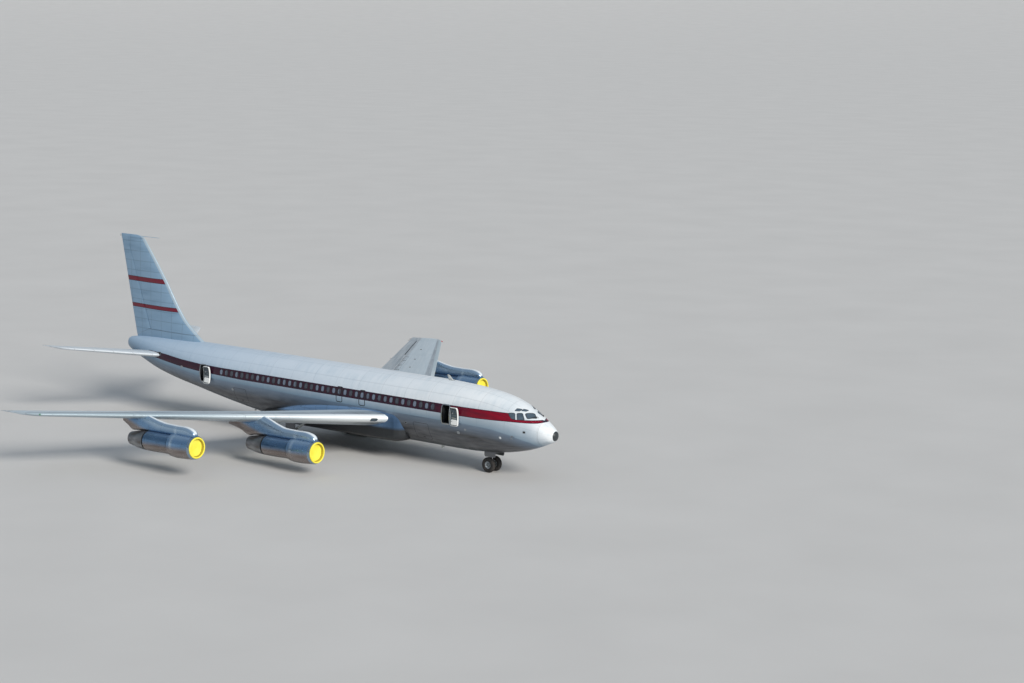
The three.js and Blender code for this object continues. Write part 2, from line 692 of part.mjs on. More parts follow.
const forkTop = noseLeg.bottom - seat;
const forkHalf = noseGear.track - noseGear.wheelWidth / 2 - running;
const { start, ahead, half: towHalf, low: towLow, high: towHigh } = towFitting;
place('nose_gear_fork', bar([noseAt, 0, forkTop], [noseAt, 0, axleLine], noseFork.stem)
  .add(bar([noseAt, 0, forkTop], [noseAt, 0, forkTop - noseFork.collarDrop], noseFork.collar))
  .add(bar([noseAt, -forkHalf, axleLine], [noseAt, forkHalf, axleLine], noseFork.hub))
  .add(box(noseAt + start, noseAt + ahead, -towHalf, towHalf, towLow, towHigh))
  .subtract(bar([noseAt, -2 * forkHalf, axleLine], [noseAt, 2 * forkHalf, axleLine], boreRadius)), gearPaint);
place('nose_wheels', twinWheels(noseGear, noseAt, 0), tyreRubber);
for (const [label, side] of sides) {
  const plate = box(row(noseDoor.last), wellFront - noseDoor.gap, side * noseWell.half,
    side * (noseWell.half + noseDoor.plate), noseDoor.low, noseDoor.high);
  place(`nose_gear_door_${label}`, plate.subtract(bodyWithSeat), skinPaint);
}

// Main gear: a leg under each wing with its struts and yoke, a four-wheel bogie and a door on the leg
for (const [label, side] of sides) {
  const [x, y, axles] = [row(mainGear.station), side * mainGear.side, mainGear.wheelRadius];
  const wingWithSeat = planeSolid(wingEdges, wingSections, side, seat);
  const wall = fairingSide + seat;
  const insideFairing = box(x - mainLeg.top, x + mainLeg.top, -wall, wall, 0, finTop);
  const inner = side * (wall - sideStay.inside);
  const sideStrut = bar([x, y, sideStay.low], [x, inner, sideStay.high], sideStay.radius, pinSides)
    .subtract(insideFairing);
  const dragStrut = bar([x, y, dragStay.low], [x + dragStay.ahead, y, mainLeg.top], dragStay.radius, pinSides);
  const crosshead = box(x - yoke.half, x + yoke.half, y - yoke.wide, y + yoke.wide,
    axles + yoke.low, axles + yoke.high);
  const cheek = (offset) => box(x - yoke.half, x + yoke.half, y + offset - yokeCheek.half,
    y + offset + yokeCheek.half, axles + yokeCheek.foot, axles + yokeCheek.top);
  const strut = bar([x, y, mainLeg.top], [x, y, mainLeg.bottom], mainLeg.radius);
  const piston = bar([x, y, mainLeg.bottom + mainLeg.lap], [x, y, axles + yoke.low], mainLeg.piston);
  place(`${label}_main_gear_leg`, strut.add(piston).add(crosshead).add(cheek(-yokeCheek.side))
    .add(cheek(yokeCheek.side)).add(dragStrut).add(sideStrut).subtract(wingWithSeat), gearPaint);

  const beamHalf = bogieBeam.half - seat;
  const beamReach = bogie + bogieBeam.beyond;
  let beam = box(x - beamReach, x + beamReach, y - beamHalf, y + beamHalf,
    axles - bogieBeam.deep, axles + bogieBeam.deep);
  for (const [end, offset] of [['aft', -bogie], ['forward', bogie]]) {
    const across = (reach, radius) => bar([x + offset, y - reach, axles], [x + offset, y + reach, axles], radius);
    beam = beam.add(across(bogieBeam.hubReach, bogieBeam.hubRadius))
      .subtract(across(2 * bogieBeam.hubReach, boreRadius));
    place(`${label}_${end}_main_wheels`, twinWheels(mainGear, x + offset, y), tyreRubber);
  }
  place(`${label}_bogie_beam`, beam, gearPaint);

  const doorAt = y + side * mainDoor.out;
  const armEnds = [doorAt, y + side * mainDoor.armStart].map((across) => [x, across, mainDoor.armHeight]);
  const doorPlate = box(x - mainDoor.half, x + mainDoor.half, doorAt, doorAt + side * mainDoor.plate,
    mainDoor.low, mainLeg.top);
  const strutWithSeat = bar([x, y, mainLeg.top], [x, y, mainLeg.bottom], mainLeg.radius + seat);
  place(`${label}_main_gear_door`, doorPlate.add(bar(...armEnds, mainDoor.armRadius, pinSides))
    .subtract(wingWithSeat).subtract(strutWithSeat), skinPaint);
}

export default airliner;
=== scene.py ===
import math
from functools import partial

import bpy
import numpy as np
from mathutils import Matrix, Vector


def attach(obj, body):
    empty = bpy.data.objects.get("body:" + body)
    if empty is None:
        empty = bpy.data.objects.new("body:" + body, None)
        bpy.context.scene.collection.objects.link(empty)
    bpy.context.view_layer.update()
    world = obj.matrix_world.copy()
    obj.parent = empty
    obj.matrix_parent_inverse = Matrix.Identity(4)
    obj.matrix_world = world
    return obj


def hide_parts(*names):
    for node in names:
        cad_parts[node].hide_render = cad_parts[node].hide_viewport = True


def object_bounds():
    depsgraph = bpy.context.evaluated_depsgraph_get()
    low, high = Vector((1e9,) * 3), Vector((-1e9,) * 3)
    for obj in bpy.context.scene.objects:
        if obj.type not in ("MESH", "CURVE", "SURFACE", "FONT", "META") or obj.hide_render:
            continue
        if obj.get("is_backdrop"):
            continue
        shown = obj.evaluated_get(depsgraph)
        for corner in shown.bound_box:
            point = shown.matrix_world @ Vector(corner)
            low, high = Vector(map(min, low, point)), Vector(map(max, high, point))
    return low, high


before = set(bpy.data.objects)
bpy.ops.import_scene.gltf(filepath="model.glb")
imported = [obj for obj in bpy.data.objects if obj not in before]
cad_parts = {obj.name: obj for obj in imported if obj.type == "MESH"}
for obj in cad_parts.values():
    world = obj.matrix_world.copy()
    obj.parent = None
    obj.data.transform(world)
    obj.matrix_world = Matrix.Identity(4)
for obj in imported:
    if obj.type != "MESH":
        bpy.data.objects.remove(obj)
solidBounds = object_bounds()

modelScale = 0.5  # all sizes below are metres of the full-size aircraft, and makePiece halves them
noseX = 20.575  # X of the nose tip; a station is the distance aft of it
sides = {"port": 1, "starboard": -1}


# Tools for meshes. A part is (points, faces, paint): a triangle's fourth corner is -1, paint is each face's material.

def gridFaces(rows, columns, wrap=False):
    # quads between neighbouring rows and columns of a grid that is numbered row by row
    i, j = np.meshgrid(np.arange(rows - 1), np.arange(columns if wrap else columns - 1), indexing="ij")
    k = (j + 1) % columns
    return np.stack([i * columns + j, i * columns + k, (i + 1) * columns + k, (i + 1) * columns + j], -1).reshape(-1, 4)


def turnedOut(points, faces, paint, toward=None):
    # the sum of each face's area vector against its middle is the volume; a negative one means inside out
    a, b, c = (points[faces[:, k]] for k in range(3))
    d = points[np.where(faces[:, 3] < 0, faces[:, 2], faces[:, 3])]
    area = np.cross(c - a, d - b)
    sense = (area * ((a + c) / 2 if toward is None else np.asarray(toward, float))).sum()
    if sense < 0:
        quad = faces[:, 3] >= 0
        faces = np.where(quad[:, None], faces[:, ::-1], faces[:, [2, 1, 0, 3]])
    return points, faces, paint


def lofted(rings, ends=("middle", "middle"), paint=0, toward=None):
    # closed rings skinned in order, each end closed by a fan about its middle or about a given point
    rows, columns = rings.shape[:2]
    points, faces = rings.reshape(-1, 3), gridFaces(rows, columns, True)
    bands = np.repeat(np.broadcast_to(paint, (rows - 1,)), columns)
    for first, end, row in ((0, ends[0], 0), ((rows - 1) * columns, ends[1], rows - 2)):
        if end is None:
            continue
        middle = rings[first // columns].mean(0) if isinstance(end, str) else np.asarray(end, float)
        points = np.vstack([points, middle])
        j = first + np.arange(columns)
        k = first + (np.arange(columns) + 1) % columns
        tip = np.full(columns, len(points) - 1)
        fan = [tip, k, j] if first == 0 else [tip, j, k]
        faces = np.vstack([faces, np.stack([*fan, np.full(columns, -1)], -1)])
        bands = np.append(bands, np.repeat(np.broadcast_to(paint, (rows - 1,))[row], columns))
    return turnedOut(points, faces, bands, toward)


def joined(parts):
    # several parts as one: each part's faces count on from the points before it
    counts = np.cumsum([0] + [len(p[0]) for p in parts])
    shifted = [np.where(p[1] < 0, -1, p[1] + n) for p, n in zip(parts, counts)]
    return np.vstack([p[0] for p in parts]), np.vstack(shifted), np.concatenate([p[2] for p in parts])


def painted(part, index):
    # a part with one paint on all its faces
    return part[0], part[1], np.full(len(part[1]), index)


def basis(direction):
    # two unit vectors square to a direction
    d = np.asarray(direction, float) / np.linalg.norm(direction)
    side = np.cross(d, (0, 0, 1) if abs(d[2]) < 0.9 else (0, 1, 0))
    side /= np.linalg.norm(side)
    return d, side, np.cross(side, d)


def turned(profile, start, direction=(-1, 0, 0), sides=48, paint=0):
    # a profile of (distance along, radius) carried round an axis; an end on the axis closes in a point
    profile = np.asarray(profile, float)
    d, u, v = basis(direction)
    start = np.asarray(start, float)
    ends = [start + d * profile[k, 0] if profile[k, 1] == 0 else None for k in (0, -1)]
    inner = profile[(0 if ends[0] is None else 1):(len(profile) if ends[1] is None else -1)]
    t = np.linspace(0, 2 * np.pi, sides, endpoint=False)
    spoke = np.cos(t)[:, None] * u + np.sin(t)[:, None] * v
    rings = start + inner[:, 0, None, None] * d + inner[:, 1, None, None] * spoke
    if ends[0] is None and ends[1] is None:
        points, faces = rings.reshape(-1, 3), gridFaces(len(inner), sides, True)
        last, first = (len(inner) - 1) * sides + np.arange(sides), np.arange(sides)
        k = (first + 1) % sides
        closing = np.stack([last, last - first + k, k, first], -1)
        paints = np.broadcast_to(paint, (len(inner) - 1,))
        return turnedOut(points, np.vstack([faces, closing]), np.repeat(np.append(paints, paints[-1]), sides))
    return lofted(rings, ["middle" if e is None else e for e in ends], paint)


def rod(start, end, radius, sides=20, edge=0.006, paint=0):
    # a round bar with a small chamfer at both ends
    start, end = np.asarray(start, float), np.asarray(end, float)
    length = np.linalg.norm(end - start)
    edge = min(edge, radius * 0.4, length * 0.3)
    profile = [(0, 0), (0, radius - edge), (edge, radius), (length - edge, radius),
        (length, radius - edge), (length, 0)]
    return turned(profile, start, end - start, sides, paint)


def tube(path, radius, sides=10, paint=0):
    # a circle carried along a path, square to its mean direction at each point
    path = np.asarray(path, float)
    along = np.gradient(path, axis=0)
    along /= np.linalg.norm(along, axis=1, keepdims=True)
    side = np.cross(along, np.where(np.abs(along[:, 2:3]) < 0.9, (0, 0, 1), (0, 1, 0)))
    side /= np.linalg.norm(side, axis=1, keepdims=True)
    up = np.cross(side, along)
    t = np.linspace(0, 2 * np.pi, sides, endpoint=False)
    reach = np.broadcast_to(radius, (len(path),))[:, None, None]
    rings = path[:, None] + reach * (np.cos(t)[:, None] * side[:, None] + np.sin(t)[:, None] * up[:, None])
    return lofted(rings, paint=paint)


def block(low, high, edge=0.012, paint=0):
    # a box whose twelve edges are rounded: rings of a rounded rectangle, drawn in at both ends
    low, high = np.minimum(low, high).astype(float), np.maximum(low, high).astype(float)
    edge = min(edge, 0.45 * (high - low).min())
    middle, half = (low + high) / 2, (high - low) / 2
    t = np.linspace(0, np.pi / 2, 4)
    drawn = np.concatenate([edge * (1 - np.sin(t)), (edge * (1 - np.sin(t)))[::-1]])
    z = np.concatenate([low[2] + edge * (1 - np.cos(t)), high[2] - edge * (1 - np.cos(t))[::-1]])
    q = np.concatenate([t + k * np.pi / 2 for k in range(4)])
    sx, sy = np.sign(np.cos(q.reshape(4, 4).mean(1))).repeat(4), np.sign(np.sin(q.reshape(4, 4).mean(1))).repeat(4)
    x = middle[0] + sx * (half[0] - edge) + (edge - drawn[:, None]) * np.cos(q)
    y = middle[1] + sy * (half[1] - edge) + (edge - drawn[:, None]) * np.sin(q)
    return lofted(np.stack([x, y, np.broadcast_to(z[:, None], x.shape)], -1), paint=paint)


def columnAt(table, column, at):
    # slope-limited cubic through one column of a table, the same curve as the solids have
    x, y = table[:, 0], table[:, column]
    at = np.asarray(at, float)
    slope = np.diff(y) / np.diff(x)
    product, total = slope[:-1] * slope[1:], slope[:-1] + slope[1:]
    inner = np.where(product <= 0, 0, 2 * product / np.where(product <= 0, 1, total))
    tangent = np.concatenate([slope[:1], inner, slope[-1:]])
    i = np.clip(np.searchsorted(x, at, side="right") - 1, 0, len(x) - 2)
    width = x[i + 1] - x[i]
    t = np.clip((at - x[i]) / width, 0, 1)
    return (y[i] * (2 * t**3 - 3 * t**2 + 1) + y[i + 1] * (3 * t**2 - 2 * t**3) + width
        * (tangent[i] * (t**3 - 2 * t**2 + t) + tangent[i + 1] * (t**3 - t**2)))


def makePiece(name, parts, materials, body="airframe", replaced=(), sharp=32, values=None):
    # one mesh object from parts, smooth but for edges sharper than an angle, riding on a body
    points, faces, paint = joined(parts)
    mesh = bpy.data.meshes.new(name)
    sizes = (faces >= 0).sum(1)
    corners = faces[faces >= 0]
    mesh.vertices.add(len(points))
    mesh.vertices.foreach_set("co", (points * modelScale).astype(np.float32).ravel())
    mesh.loops.add(len(corners))
    mesh.loops.foreach_set("vertex_index", corners.astype(np.int32))
    mesh.polygons.add(len(faces))
    mesh.polygons.foreach_set("loop_start", (np.cumsum(sizes) - sizes).astype(np.int32))
    mesh.polygons.foreach_set("material_index", paint.astype(np.int32))
    for material in materials:
        mesh.materials.append(material)
    mesh.update(calc_edges=True)
    for key, value in (values(points) if values else {}).items():
        if value.ndim == 2:
            layer = mesh.uv_layers.new(name=key)
            layer.data.foreach_set("uv", value[corners].astype(np.float32).ravel())
        else:
            mesh.attributes.new(key, "FLOAT", "POINT").data.foreach_set("value", value.astype(np.float32))
    mesh.shade_smooth()
    mesh.set_sharp_from_angle(angle=math.radians(sharp))
    piece = bpy.data.objects.new(name, mesh)
    bpy.context.scene.collection.objects.link(piece)
    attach(piece, body)
    if replaced:
        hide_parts(*replaced)
    return piece


# Tools for materials

def toLinear(hexColor):
    # an sRGB hex colour as linear light
    c = np.array([int(hexColor[k:k + 2], 16) for k in (1, 3, 5)]) / 255
    return (*np.where(c <= 0.04045, c / 12.92, ((c + 0.055) / 1.055) ** 2.4).tolist(), 1.0)


def addNode(tree, kind, *values, output=0, **settings):
    # one node of a kind, with its operation as a second word: values go to its inputs in order, capitalised settings
    # to inputs by name, others are properties; a socket is linked, a hex colour made linear, and one output socket
    # comes back. Mix nodes mix colours
    kind, *operation = kind.split()
    node = tree.nodes.new("ShaderNode" + kind)
    if operation:
        node.operation = operation[0]
    if kind == "Mix":
        node.data_type = "RGBA"
    for key, value in settings.items():
        if key[0].islower():
            setattr(node, key, value)
    given = list(zip([socket for socket in node.inputs if socket.enabled], values))
    given += [(node.inputs[key.replace("_", " ")], value) for key, value in settings.items() if key[0].isupper()]
    for socket, value in given:
        if isinstance(value, bpy.types.NodeSocket):
            tree.links.new(value, socket)
        elif value is not None:
            socket.default_value = toLinear(value) if isinstance(value, str) else value
    return [socket for socket in node.outputs if socket.enabled][output]


def newMaterial(name, settings):
    # a material with one shader, whose own sockets take the settings; add() puts nodes into it
    material = bpy.data.materials.new(name)
    material.use_nodes = True
    tree = material.node_tree
    shader = tree.nodes["Principled BSDF"]
    for key, value in settings.items():
        shader.inputs[key].default_value = toLinear(value) if isinstance(value, str) else value
    return material, partial(addNode, tree), shader


def feed(shader, sockets):
    # links each output to the shader's input of that name
    for name, socket in sockets.items():
        shader.id_data.links.new(socket, shader.inputs[name])


print("tools ready")


# Stage 1: camera, floor and light

eye = (98.853, -104.245, 29.837)
azimuth, pitch, roll, lens = 0.66638, 0.15879, 0.01110, 74.97
view = {"floor": 1600.0, "rim": 150.0, "sunAngle": 22, "sunTilt": 60, "sunTurn": 72,
    "sunStrength": 3.0, "skyStrength": 0.43}

look = np.array([-math.sin(azimuth) * math.cos(pitch), math.cos(azimuth) * math.cos(pitch), -math.sin(pitch)])
level = np.array([math.cos(azimuth), math.sin(azimuth), 0.0])
upward = np.cross(level, look)
across = math.cos(roll) * level + math.sin(roll) * upward
upward = np.cross(across, look)
cameraData = bpy.data.cameras.new("photo camera")
cameraData.lens, cameraData.sensor_width, cameraData.clip_end = lens, 36.0, 5000.0
camera = bpy.data.objects.new("photo camera", cameraData)
camera.matrix_world = Matrix([[*row, modelScale * at]
    for row, at in zip(np.stack([across, upward, -look], 1), eye)] + [[0, 0, 0, 1]])
bpy.context.scene.collection.objects.link(camera)
bpy.context.scene.camera = camera
bpy.context.scene.view_settings.view_transform = "Standard"

sunData = bpy.data.lights.new("soft key", "SUN")
sunData.energy, sunData.angle, sunData.color = view["sunStrength"], math.radians(view["sunAngle"]), (1.0, 0.965, 0.92)
sun = bpy.data.objects.new("soft key", sunData)
sun.rotation_euler = (math.radians(view["sunTilt"]), 0, math.radians(view["sunTurn"]))
bpy.context.scene.collection.objects.link(sun)

world = bpy.data.worlds.new("pale studio")
world.use_nodes = True
bpy.context.scene.world = world
sky = world.node_tree
add = partial(addNode, sky)
rise = add("SeparateXYZ", add("TexCoord", output=0), output=2)
low = add("Mix", add("MapRange", rise, -0.1, 0.25), "#a9b4be", "#cbd8e4")
high = add("Mix", add("MapRange", rise, 0.25, 1.0), low, "#dcecff")
feed(sky.nodes["Background"], {"Color": high})
sky.nodes["Background"].inputs["Strength"].default_value = view["skyStrength"]

# pale concrete: faint broad patches and fine grain keep the ground from reading as a flat sheet
floorMaterial, add, shader = newMaterial("pale concrete", {"Roughness": 0.85})
patches = add("TexNoise", Vector=add("TexCoord", output=3), Scale=0.22, Detail=6.0)
feed(shader, {"Base Color": add("Mix", add("MapRange", patches, 0.3, 0.7), "#d0cecb", "#d5d3d0")})
# the floor rises as the fourth power of the distance into a shallow bowl, which hides its edge
t = np.linspace(-1.0, 1.0, 81)
floorX, floorY = (view["floor"] * (t * np.abs(t))[row] for row in np.indices((len(t), len(t))))
floorZ = view["rim"] * (np.hypot(floorX, floorY) / view["floor"]) ** 4
sheet = np.stack([floorX, floorY, floorZ], -1).reshape(-1, 3)
floorMesh = bpy.data.meshes.new("floor")
floorMesh.from_pydata(sheet.tolist(), [], gridFaces(len(t), len(t))[:, ::-1].tolist())
floorMesh.materials.append(floorMaterial)
floorMesh.shade_smooth()
floor = bpy.data.objects.new("floor", floorMesh)
bpy.context.scene.collection.objects.link(floor)
floor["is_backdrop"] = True
print("camera, floor and light ready")


# Stage 2: shapes that the body, wings and tail share

bodyTable = np.array([
    (0, 8, 2998, 2982, 2990), (60, 190, 3180, 2800, 2992), (250, 400, 3385, 2600, 3000), (600, 640, 3640, 2430, 3030),
    (1200, 940, 3990, 2170, 3120), (1900, 1220, 4376, 1910, 3230), (2400, 1380, 4623, 1770, 3310),
    (2900, 1510, 4835, 1650, 3390), (3800, 1680, 5098, 1480, 3510), (5000, 1800, 5305, 1335, 3610),
    (6500, 1867, 5445, 1250, 3665), (8000, 1880, 5520, 1230, 3680), (9500, 1880, 5560, 1230, 3680),
    (24000, 1880, 5560, 1230, 3680), (25500, 1880, 5560, 1400, 3680), (27500, 1874, 5560, 1690, 3690),
    (29500, 1815, 5558, 2020, 3740), (31500, 1680, 5550, 2370, 3830), (33500, 1470, 5525, 2690, 3970),
    (35500, 1190, 5475, 3090, 4230), (37300, 860, 5390, 3640, 4500), (38600, 560, 5275, 4110, 4700),
    (39150, 390, 5180, 4370, 4780), (39270, 300, 5120, 4450, 4790)]) / 1000
upperLobe, lowerLobe = 2.0, 2.2
stripeTable = np.array([(0.0, 3.81, 3.81), (0.88, 3.80, 3.82), (1.1, 3.755, 3.93), (1.5, 3.745, 3.93),
    (2.1, 3.76, 3.935), (2.64, 3.77, 3.94), (2.70, 3.77, 4.27), (3.02, 3.775, 4.29), (4.0, 3.76, 4.32),
    (5.0, 3.74, 4.33), (26.0, 3.74, 4.33), (28.0, 3.79, 4.33), (30.2, 3.83, 4.35), (32.4, 3.93, 4.43),
    (34.2, 4.08, 4.56), (36.0, 4.24, 4.62), (37.2, 4.45, 4.46), (39.3, 4.46, 4.46)])
metalTable = np.array([(0.0, 1.9), (0.9, 2.2), (1.14, 2.32), (1.47, 2.53), (2.04, 2.70), (2.66, 2.90), (3.33, 3.05),
    (4.05, 3.17), (4.8, 3.22), (6.0, 3.27), (20.0, 3.30), (24.7, 3.40), (28.0, 3.47), (30.2, 3.50), (33.0, 3.77),
    (34.3, 3.83), (36.5, 4.05), (39.3, 4.3)])


def bodySize(station):
    # half width, top, bottom and waist height of the body at a station
    return [columnAt(bodyTable, k, station) for k in (1, 2, 3, 4)]


def ringPoint(station, angle, lift=0.0):
    # the skin at an angle: port 0, crown 90, starboard 180, keel 270 degrees, in radians
    half, top, bottom, waist = bodySize(station)
    c, s = np.cos(angle), np.sin(angle)
    power = np.where(s < 0, 2 / lowerLobe, 2 / upperLobe)
    reach = np.where(s < 0, waist - bottom, top - waist) + lift
    y = (half + lift) * np.sign(c) * np.abs(c) ** power
    z = waist + reach * np.sign(s) * np.abs(s) ** power
    return np.stack(np.broadcast_arrays(noseX - np.asarray(station, float), y, z), -1)


def sidePoint(station, z, lift, side):
    # the skin at a height: what is left of the half width on the lobe's curve
    half, top, bottom, waist = bodySize(station)
    share = np.where(z > waist, (z - waist) / (top - waist + lift), (waist - z) / (waist - bottom + lift))
    lobe = np.where(z > waist, upperLobe, lowerLobe)
    y = (half + lift) * np.clip(1 - np.clip(share, 0, 1) ** lobe, 0, 1) ** (1 / lobe)
    return np.stack(np.broadcast_arrays(noseX - np.asarray(station, float), side * y, z), -1)


def heightAngle(station, z, side):
    # the ring angle at a height: arcsine of the share of the way from the waist to the crown, or of a power of the
    # share towards the keel
    half, top, bottom, waist = bodySize(station)
    below = np.clip((waist - z) / (waist - bottom), 0, 1) ** (lowerLobe / 2)
    a = np.arcsin(np.clip(np.where(z > waist, (z - waist) / (top - waist), -below), -1, 1))
    return a if side > 0 else np.pi - a


def roundedOutline(width, height, radius, count):
    # points evenly spaced along a rounded rectangle about the origin, with their outward normals
    radius = min(radius, width / 2 - 1e-4, height / 2 - 1e-4)
    turn = np.concatenate([np.linspace(0, np.pi / 2, 9) + k * np.pi / 2 for k in range(4)])
    corner = np.repeat([(1, 1), (-1, 1), (-1, -1), (1, -1)], 9, axis=0) * (np.array([width, height]) / 2 - radius)
    path = corner + radius * np.stack([np.cos(turn), np.sin(turn)], -1)
    path, turn = np.vstack([path, path[:1]]), np.append(turn, 2 * np.pi)
    run = np.append(0, np.cumsum(np.linalg.norm(np.diff(path, axis=0), axis=1)))
    at = np.linspace(0, run[-1], count, endpoint=False)
    angle = np.interp(at, run, turn)
    return np.stack([np.interp(at, run, path[:, k]) for k in (0, 1)], -1), np.stack([np.cos(angle), np.sin(angle)], -1)


def inlaid(place, size, radius, rings, count=32, inner=1):
    # rings of (grow, lift, paint) round one rounded rectangle, put on a surface by place(u, v, lift); rings drawn in
    # towards the middle keep both faces on the surface's curve
    outline, normal = roundedOutline(*size, radius, count)
    first, last = rings[0], rings[-1]
    shares = np.linspace(0, 1, inner + 2)[1:-1]
    loops = [((outline + normal * first[0]) * share, first[1], first[2]) for share in shares]
    loops += [(outline + normal * grow, lift, paint) for grow, lift, paint in rings]
    loops += [((outline + normal * last[0]) * share, last[1], last[2]) for share in shares[::-1]]
    points = np.stack([place(loop[:, 0], loop[:, 1], lift) for loop, lift, paint in loops])
    return lofted(points, paint=np.array([paint for loop, lift, paint in loops[1:]]))


def onSide(station, height, side):
    # a place() for inlaid: u runs aft along the body, v up
    return lambda u, v, lift: sidePoint(station + u, height + v, lift, side)


def onCorners(corners, side):
    # a place() for inlaid: bilinear between four corners (station, degrees): aft top, fore top, fore low, aft low
    c = np.array(corners, float)
    if side > 0:
        c = np.stack([c[:, 0], 180 - c[:, 1]], -1)

    def place(u, v, lift):
        s, t = (np.clip(u + 0.5, -0.3, 1.3))[:, None], (np.clip(v + 0.5, -0.3, 1.3))[:, None]
        at = (c[3] * (1 - s) + c[2] * s) * (1 - t) + (c[0] * (1 - s) + c[1] * s) * t
        return ringPoint(at[:, 0], np.radians(at[:, 1]), lift)
    return place


def cornersAbout(station, angle, half, turn):
    # four corners for onCorners, half a length and some degrees away from a middle
    return [(station + a * half, angle + b * turn) for a, b in ((1, -1), (-1, -1), (-1, 1), (1, 1))]


fairing = {"side": 1.95, "power": 0.4}
fairingTable = np.array([
    (11250, 1500, 2850, 1500), (11600, 1840, 3150, 1330), (12200, 2010, 3320, 1215), (14500, 2040, 3390, 1190),
    (17500, 2040, 3180, 1190), (20500, 2040, 2740, 1190), (22300, 2010, 2260, 1200), (23400, 1800, 1980, 1240),
    (24350, 1300, 1820, 1330)]) / 1000

skinEdge = 0.005  # what a section of wing, fin or tail has at least on each side of its chord line
wing = {"tip": 19.94, "kink": 7.3}
wingThickness = np.array([(1.9506, 0.112), (4.3, 0.113), (7.3, 0.112), (11.0, 0.107), (15.0, 0.101),
    (19.2, 0.096), (19.7, 0.08), (19.94, 0.03)])
tail = {"tip": 6.73}
tailThickness = np.array([(0.25, 0.1), (2.5, 0.1), (6.3, 0.09), (6.6, 0.07), (6.73, 0.02)])


def wingEdges(reach):
    # leading and trailing edge of the wing at a distance out: (x, z) of each
    out = reach >= wing["kink"]
    kinkStation, kinkHeight = 29.22 - 0.498 * (wing["tip"] - wing["kink"]), 3.8 - 0.107 * (wing["tip"] - wing["kink"])
    rear = np.where(out, 29.22 - 0.498 * (wing["tip"] - reach), kinkStation - 0.27 * (wing["kink"] - reach))
    rearZ = np.where(out, 3.8 - 0.107 * (wing["tip"] - reach), kinkHeight - 0.1 * (wing["kink"] - reach))
    front = 10.87 + 0.77 * reach + np.clip(reach - 19.2, 0, None) ** 2 / 1.6
    return noseX - front, 2.69 + 0.0615 * reach, noseX - rear, rearZ


def tailEdges(reach):
    # the same for a stabilizer
    front = 33.95 + 0.74 * reach + np.clip(reach - 6.3, 0, None) ** 2 / 0.7
    z = 4.23 + 0.13 * reach
    return noseX - front, z, noseX - (2 * noseX - 0.42 * (tail["tip"] - reach)), z


def wingOf(side):
    # one wing as a plane: its edges, its thickness against the chord, and its side
    return wingEdges, wingThickness, side


def tailOf(side):
    # one stabilizer as a plane
    return tailEdges, tailThickness, side


def halfThickness(share):
    # the common four-digit section: half its thickness for a ratio of one
    return 5 * (0.2969 * np.sqrt(share) - 0.126 * share - 0.3516 * share**2 + 0.2843 * share**3 - 0.1036 * share**4)


def planePoint(plane, reach, share, face, lift=0.0):
    # the upper (face 1) or lower (-1) skin at a share of the chord: chord line plus half the section's thickness
    edges, thickness, side = plane
    reach, share = np.broadcast_arrays(np.asarray(reach, float), np.asarray(share, float))
    frontX, frontZ, rearX, rearZ = edges(reach)
    chord = frontX - rearX
    half = halfThickness(share) * columnAt(thickness, 1, reach) * chord + skinEdge * (share > 0) + lift
    return np.stack([frontX - chord * share, side * reach, frontZ + (rearZ - frontZ) * share + face * half], -1)


def panelEnds(plane, share, reaches, square):
    # hinge point, trailing edge point, half thickness, axis and way aft of a panel's two ends, as the solids have them
    edges, thickness, side = plane
    ends = []
    for reach in reaches:
        frontX, frontZ, rearX, rearZ = (float(v) for v in edges(np.array(reach)))
        chord = frontX - rearX
        pivot = np.array([frontX - chord * share, side * reach, frontZ + (rearZ - frontZ) * share])
        ends.append([pivot, np.array([rearX, side * reach, rearZ]),
            float(halfThickness(share) * columnAt(thickness, 1, reach) * chord + skinEdge)])
    return squared(ends, square)


def squared(ends, square):
    # axis, way aft and up of both ends; square ones slide the rear point along the edge until it is square to the axis
    axis = ends[1][0] - ends[0][0]
    axis /= np.linalg.norm(axis)
    edge = ends[1][1] - ends[0][1]
    made = []
    for pivot, rear, half in ends:
        if square:
            rear = rear + edge * (axis @ (pivot - rear)) / (axis @ edge)
        aft = (rear - pivot) / np.linalg.norm(rear - pivot)
        up = np.cross(axis, aft)
        made.append({"pivot": pivot, "rear": rear, "half": half, "axis": axis,
            "aft": aft, "up": up / np.linalg.norm(up)})
    return made


wedgeSteps = np.array([0.25, 0.5, 0.75, 0.97])[:, None]  # shares of the way from the hinge to the trailing edge
edgeHalf = 0.006


def wedge(line):
    # points out to the trailing edge below and back above: half the thickness falls evenly on the way
    aft = line["pivot"] + line["aft"] * np.linalg.norm(line["rear"] - line["pivot"]) * wedgeSteps
    off = line["up"] * (line["half"] * (1 - wedgeSteps) + edgeHalf * wedgeSteps)
    return np.vstack([aft - off, line["rear"], (aft + off)[::-1]])


def panelRings(ends, count, noseSteps=10, blunt=False, gap=0.0):
    # a wedge from a round nose about the hinge to a thin rounded trailing edge, lofted between two ends
    rings = []
    for t in np.linspace(0, 1, count):
        near, far = ends
        mix = {key: near[key] * (1 - t) + far[key] * t for key in ("pivot", "rear", "half", "aft", "up")}
        along = near["axis"] * gap * (1 - 2 * t)
        turn = np.linspace(np.pi / 2, 3 * np.pi / 2, noseSteps + 1)[:, None]
        ahead = (0.15 if blunt else 1) * np.cos(turn)
        nose = mix["pivot"] + mix["half"] * (ahead * mix["aft"] + np.sin(turn) * mix["up"])
        rings.append(np.vstack([nose, wedge(mix)]) + along)
    return np.stack(rings)


def frontRing(plane, reach, cut, columns=22):
    # a section cut off at a share of the chord, with a flat wall behind
    share = cut * (1 - np.cos(np.linspace(0, np.pi / 2, columns)))
    upper = planePoint(plane, reach, share[::-1], 1)
    lower = planePoint(plane, reach, share[1:], -1)
    return np.vstack([upper, lower])


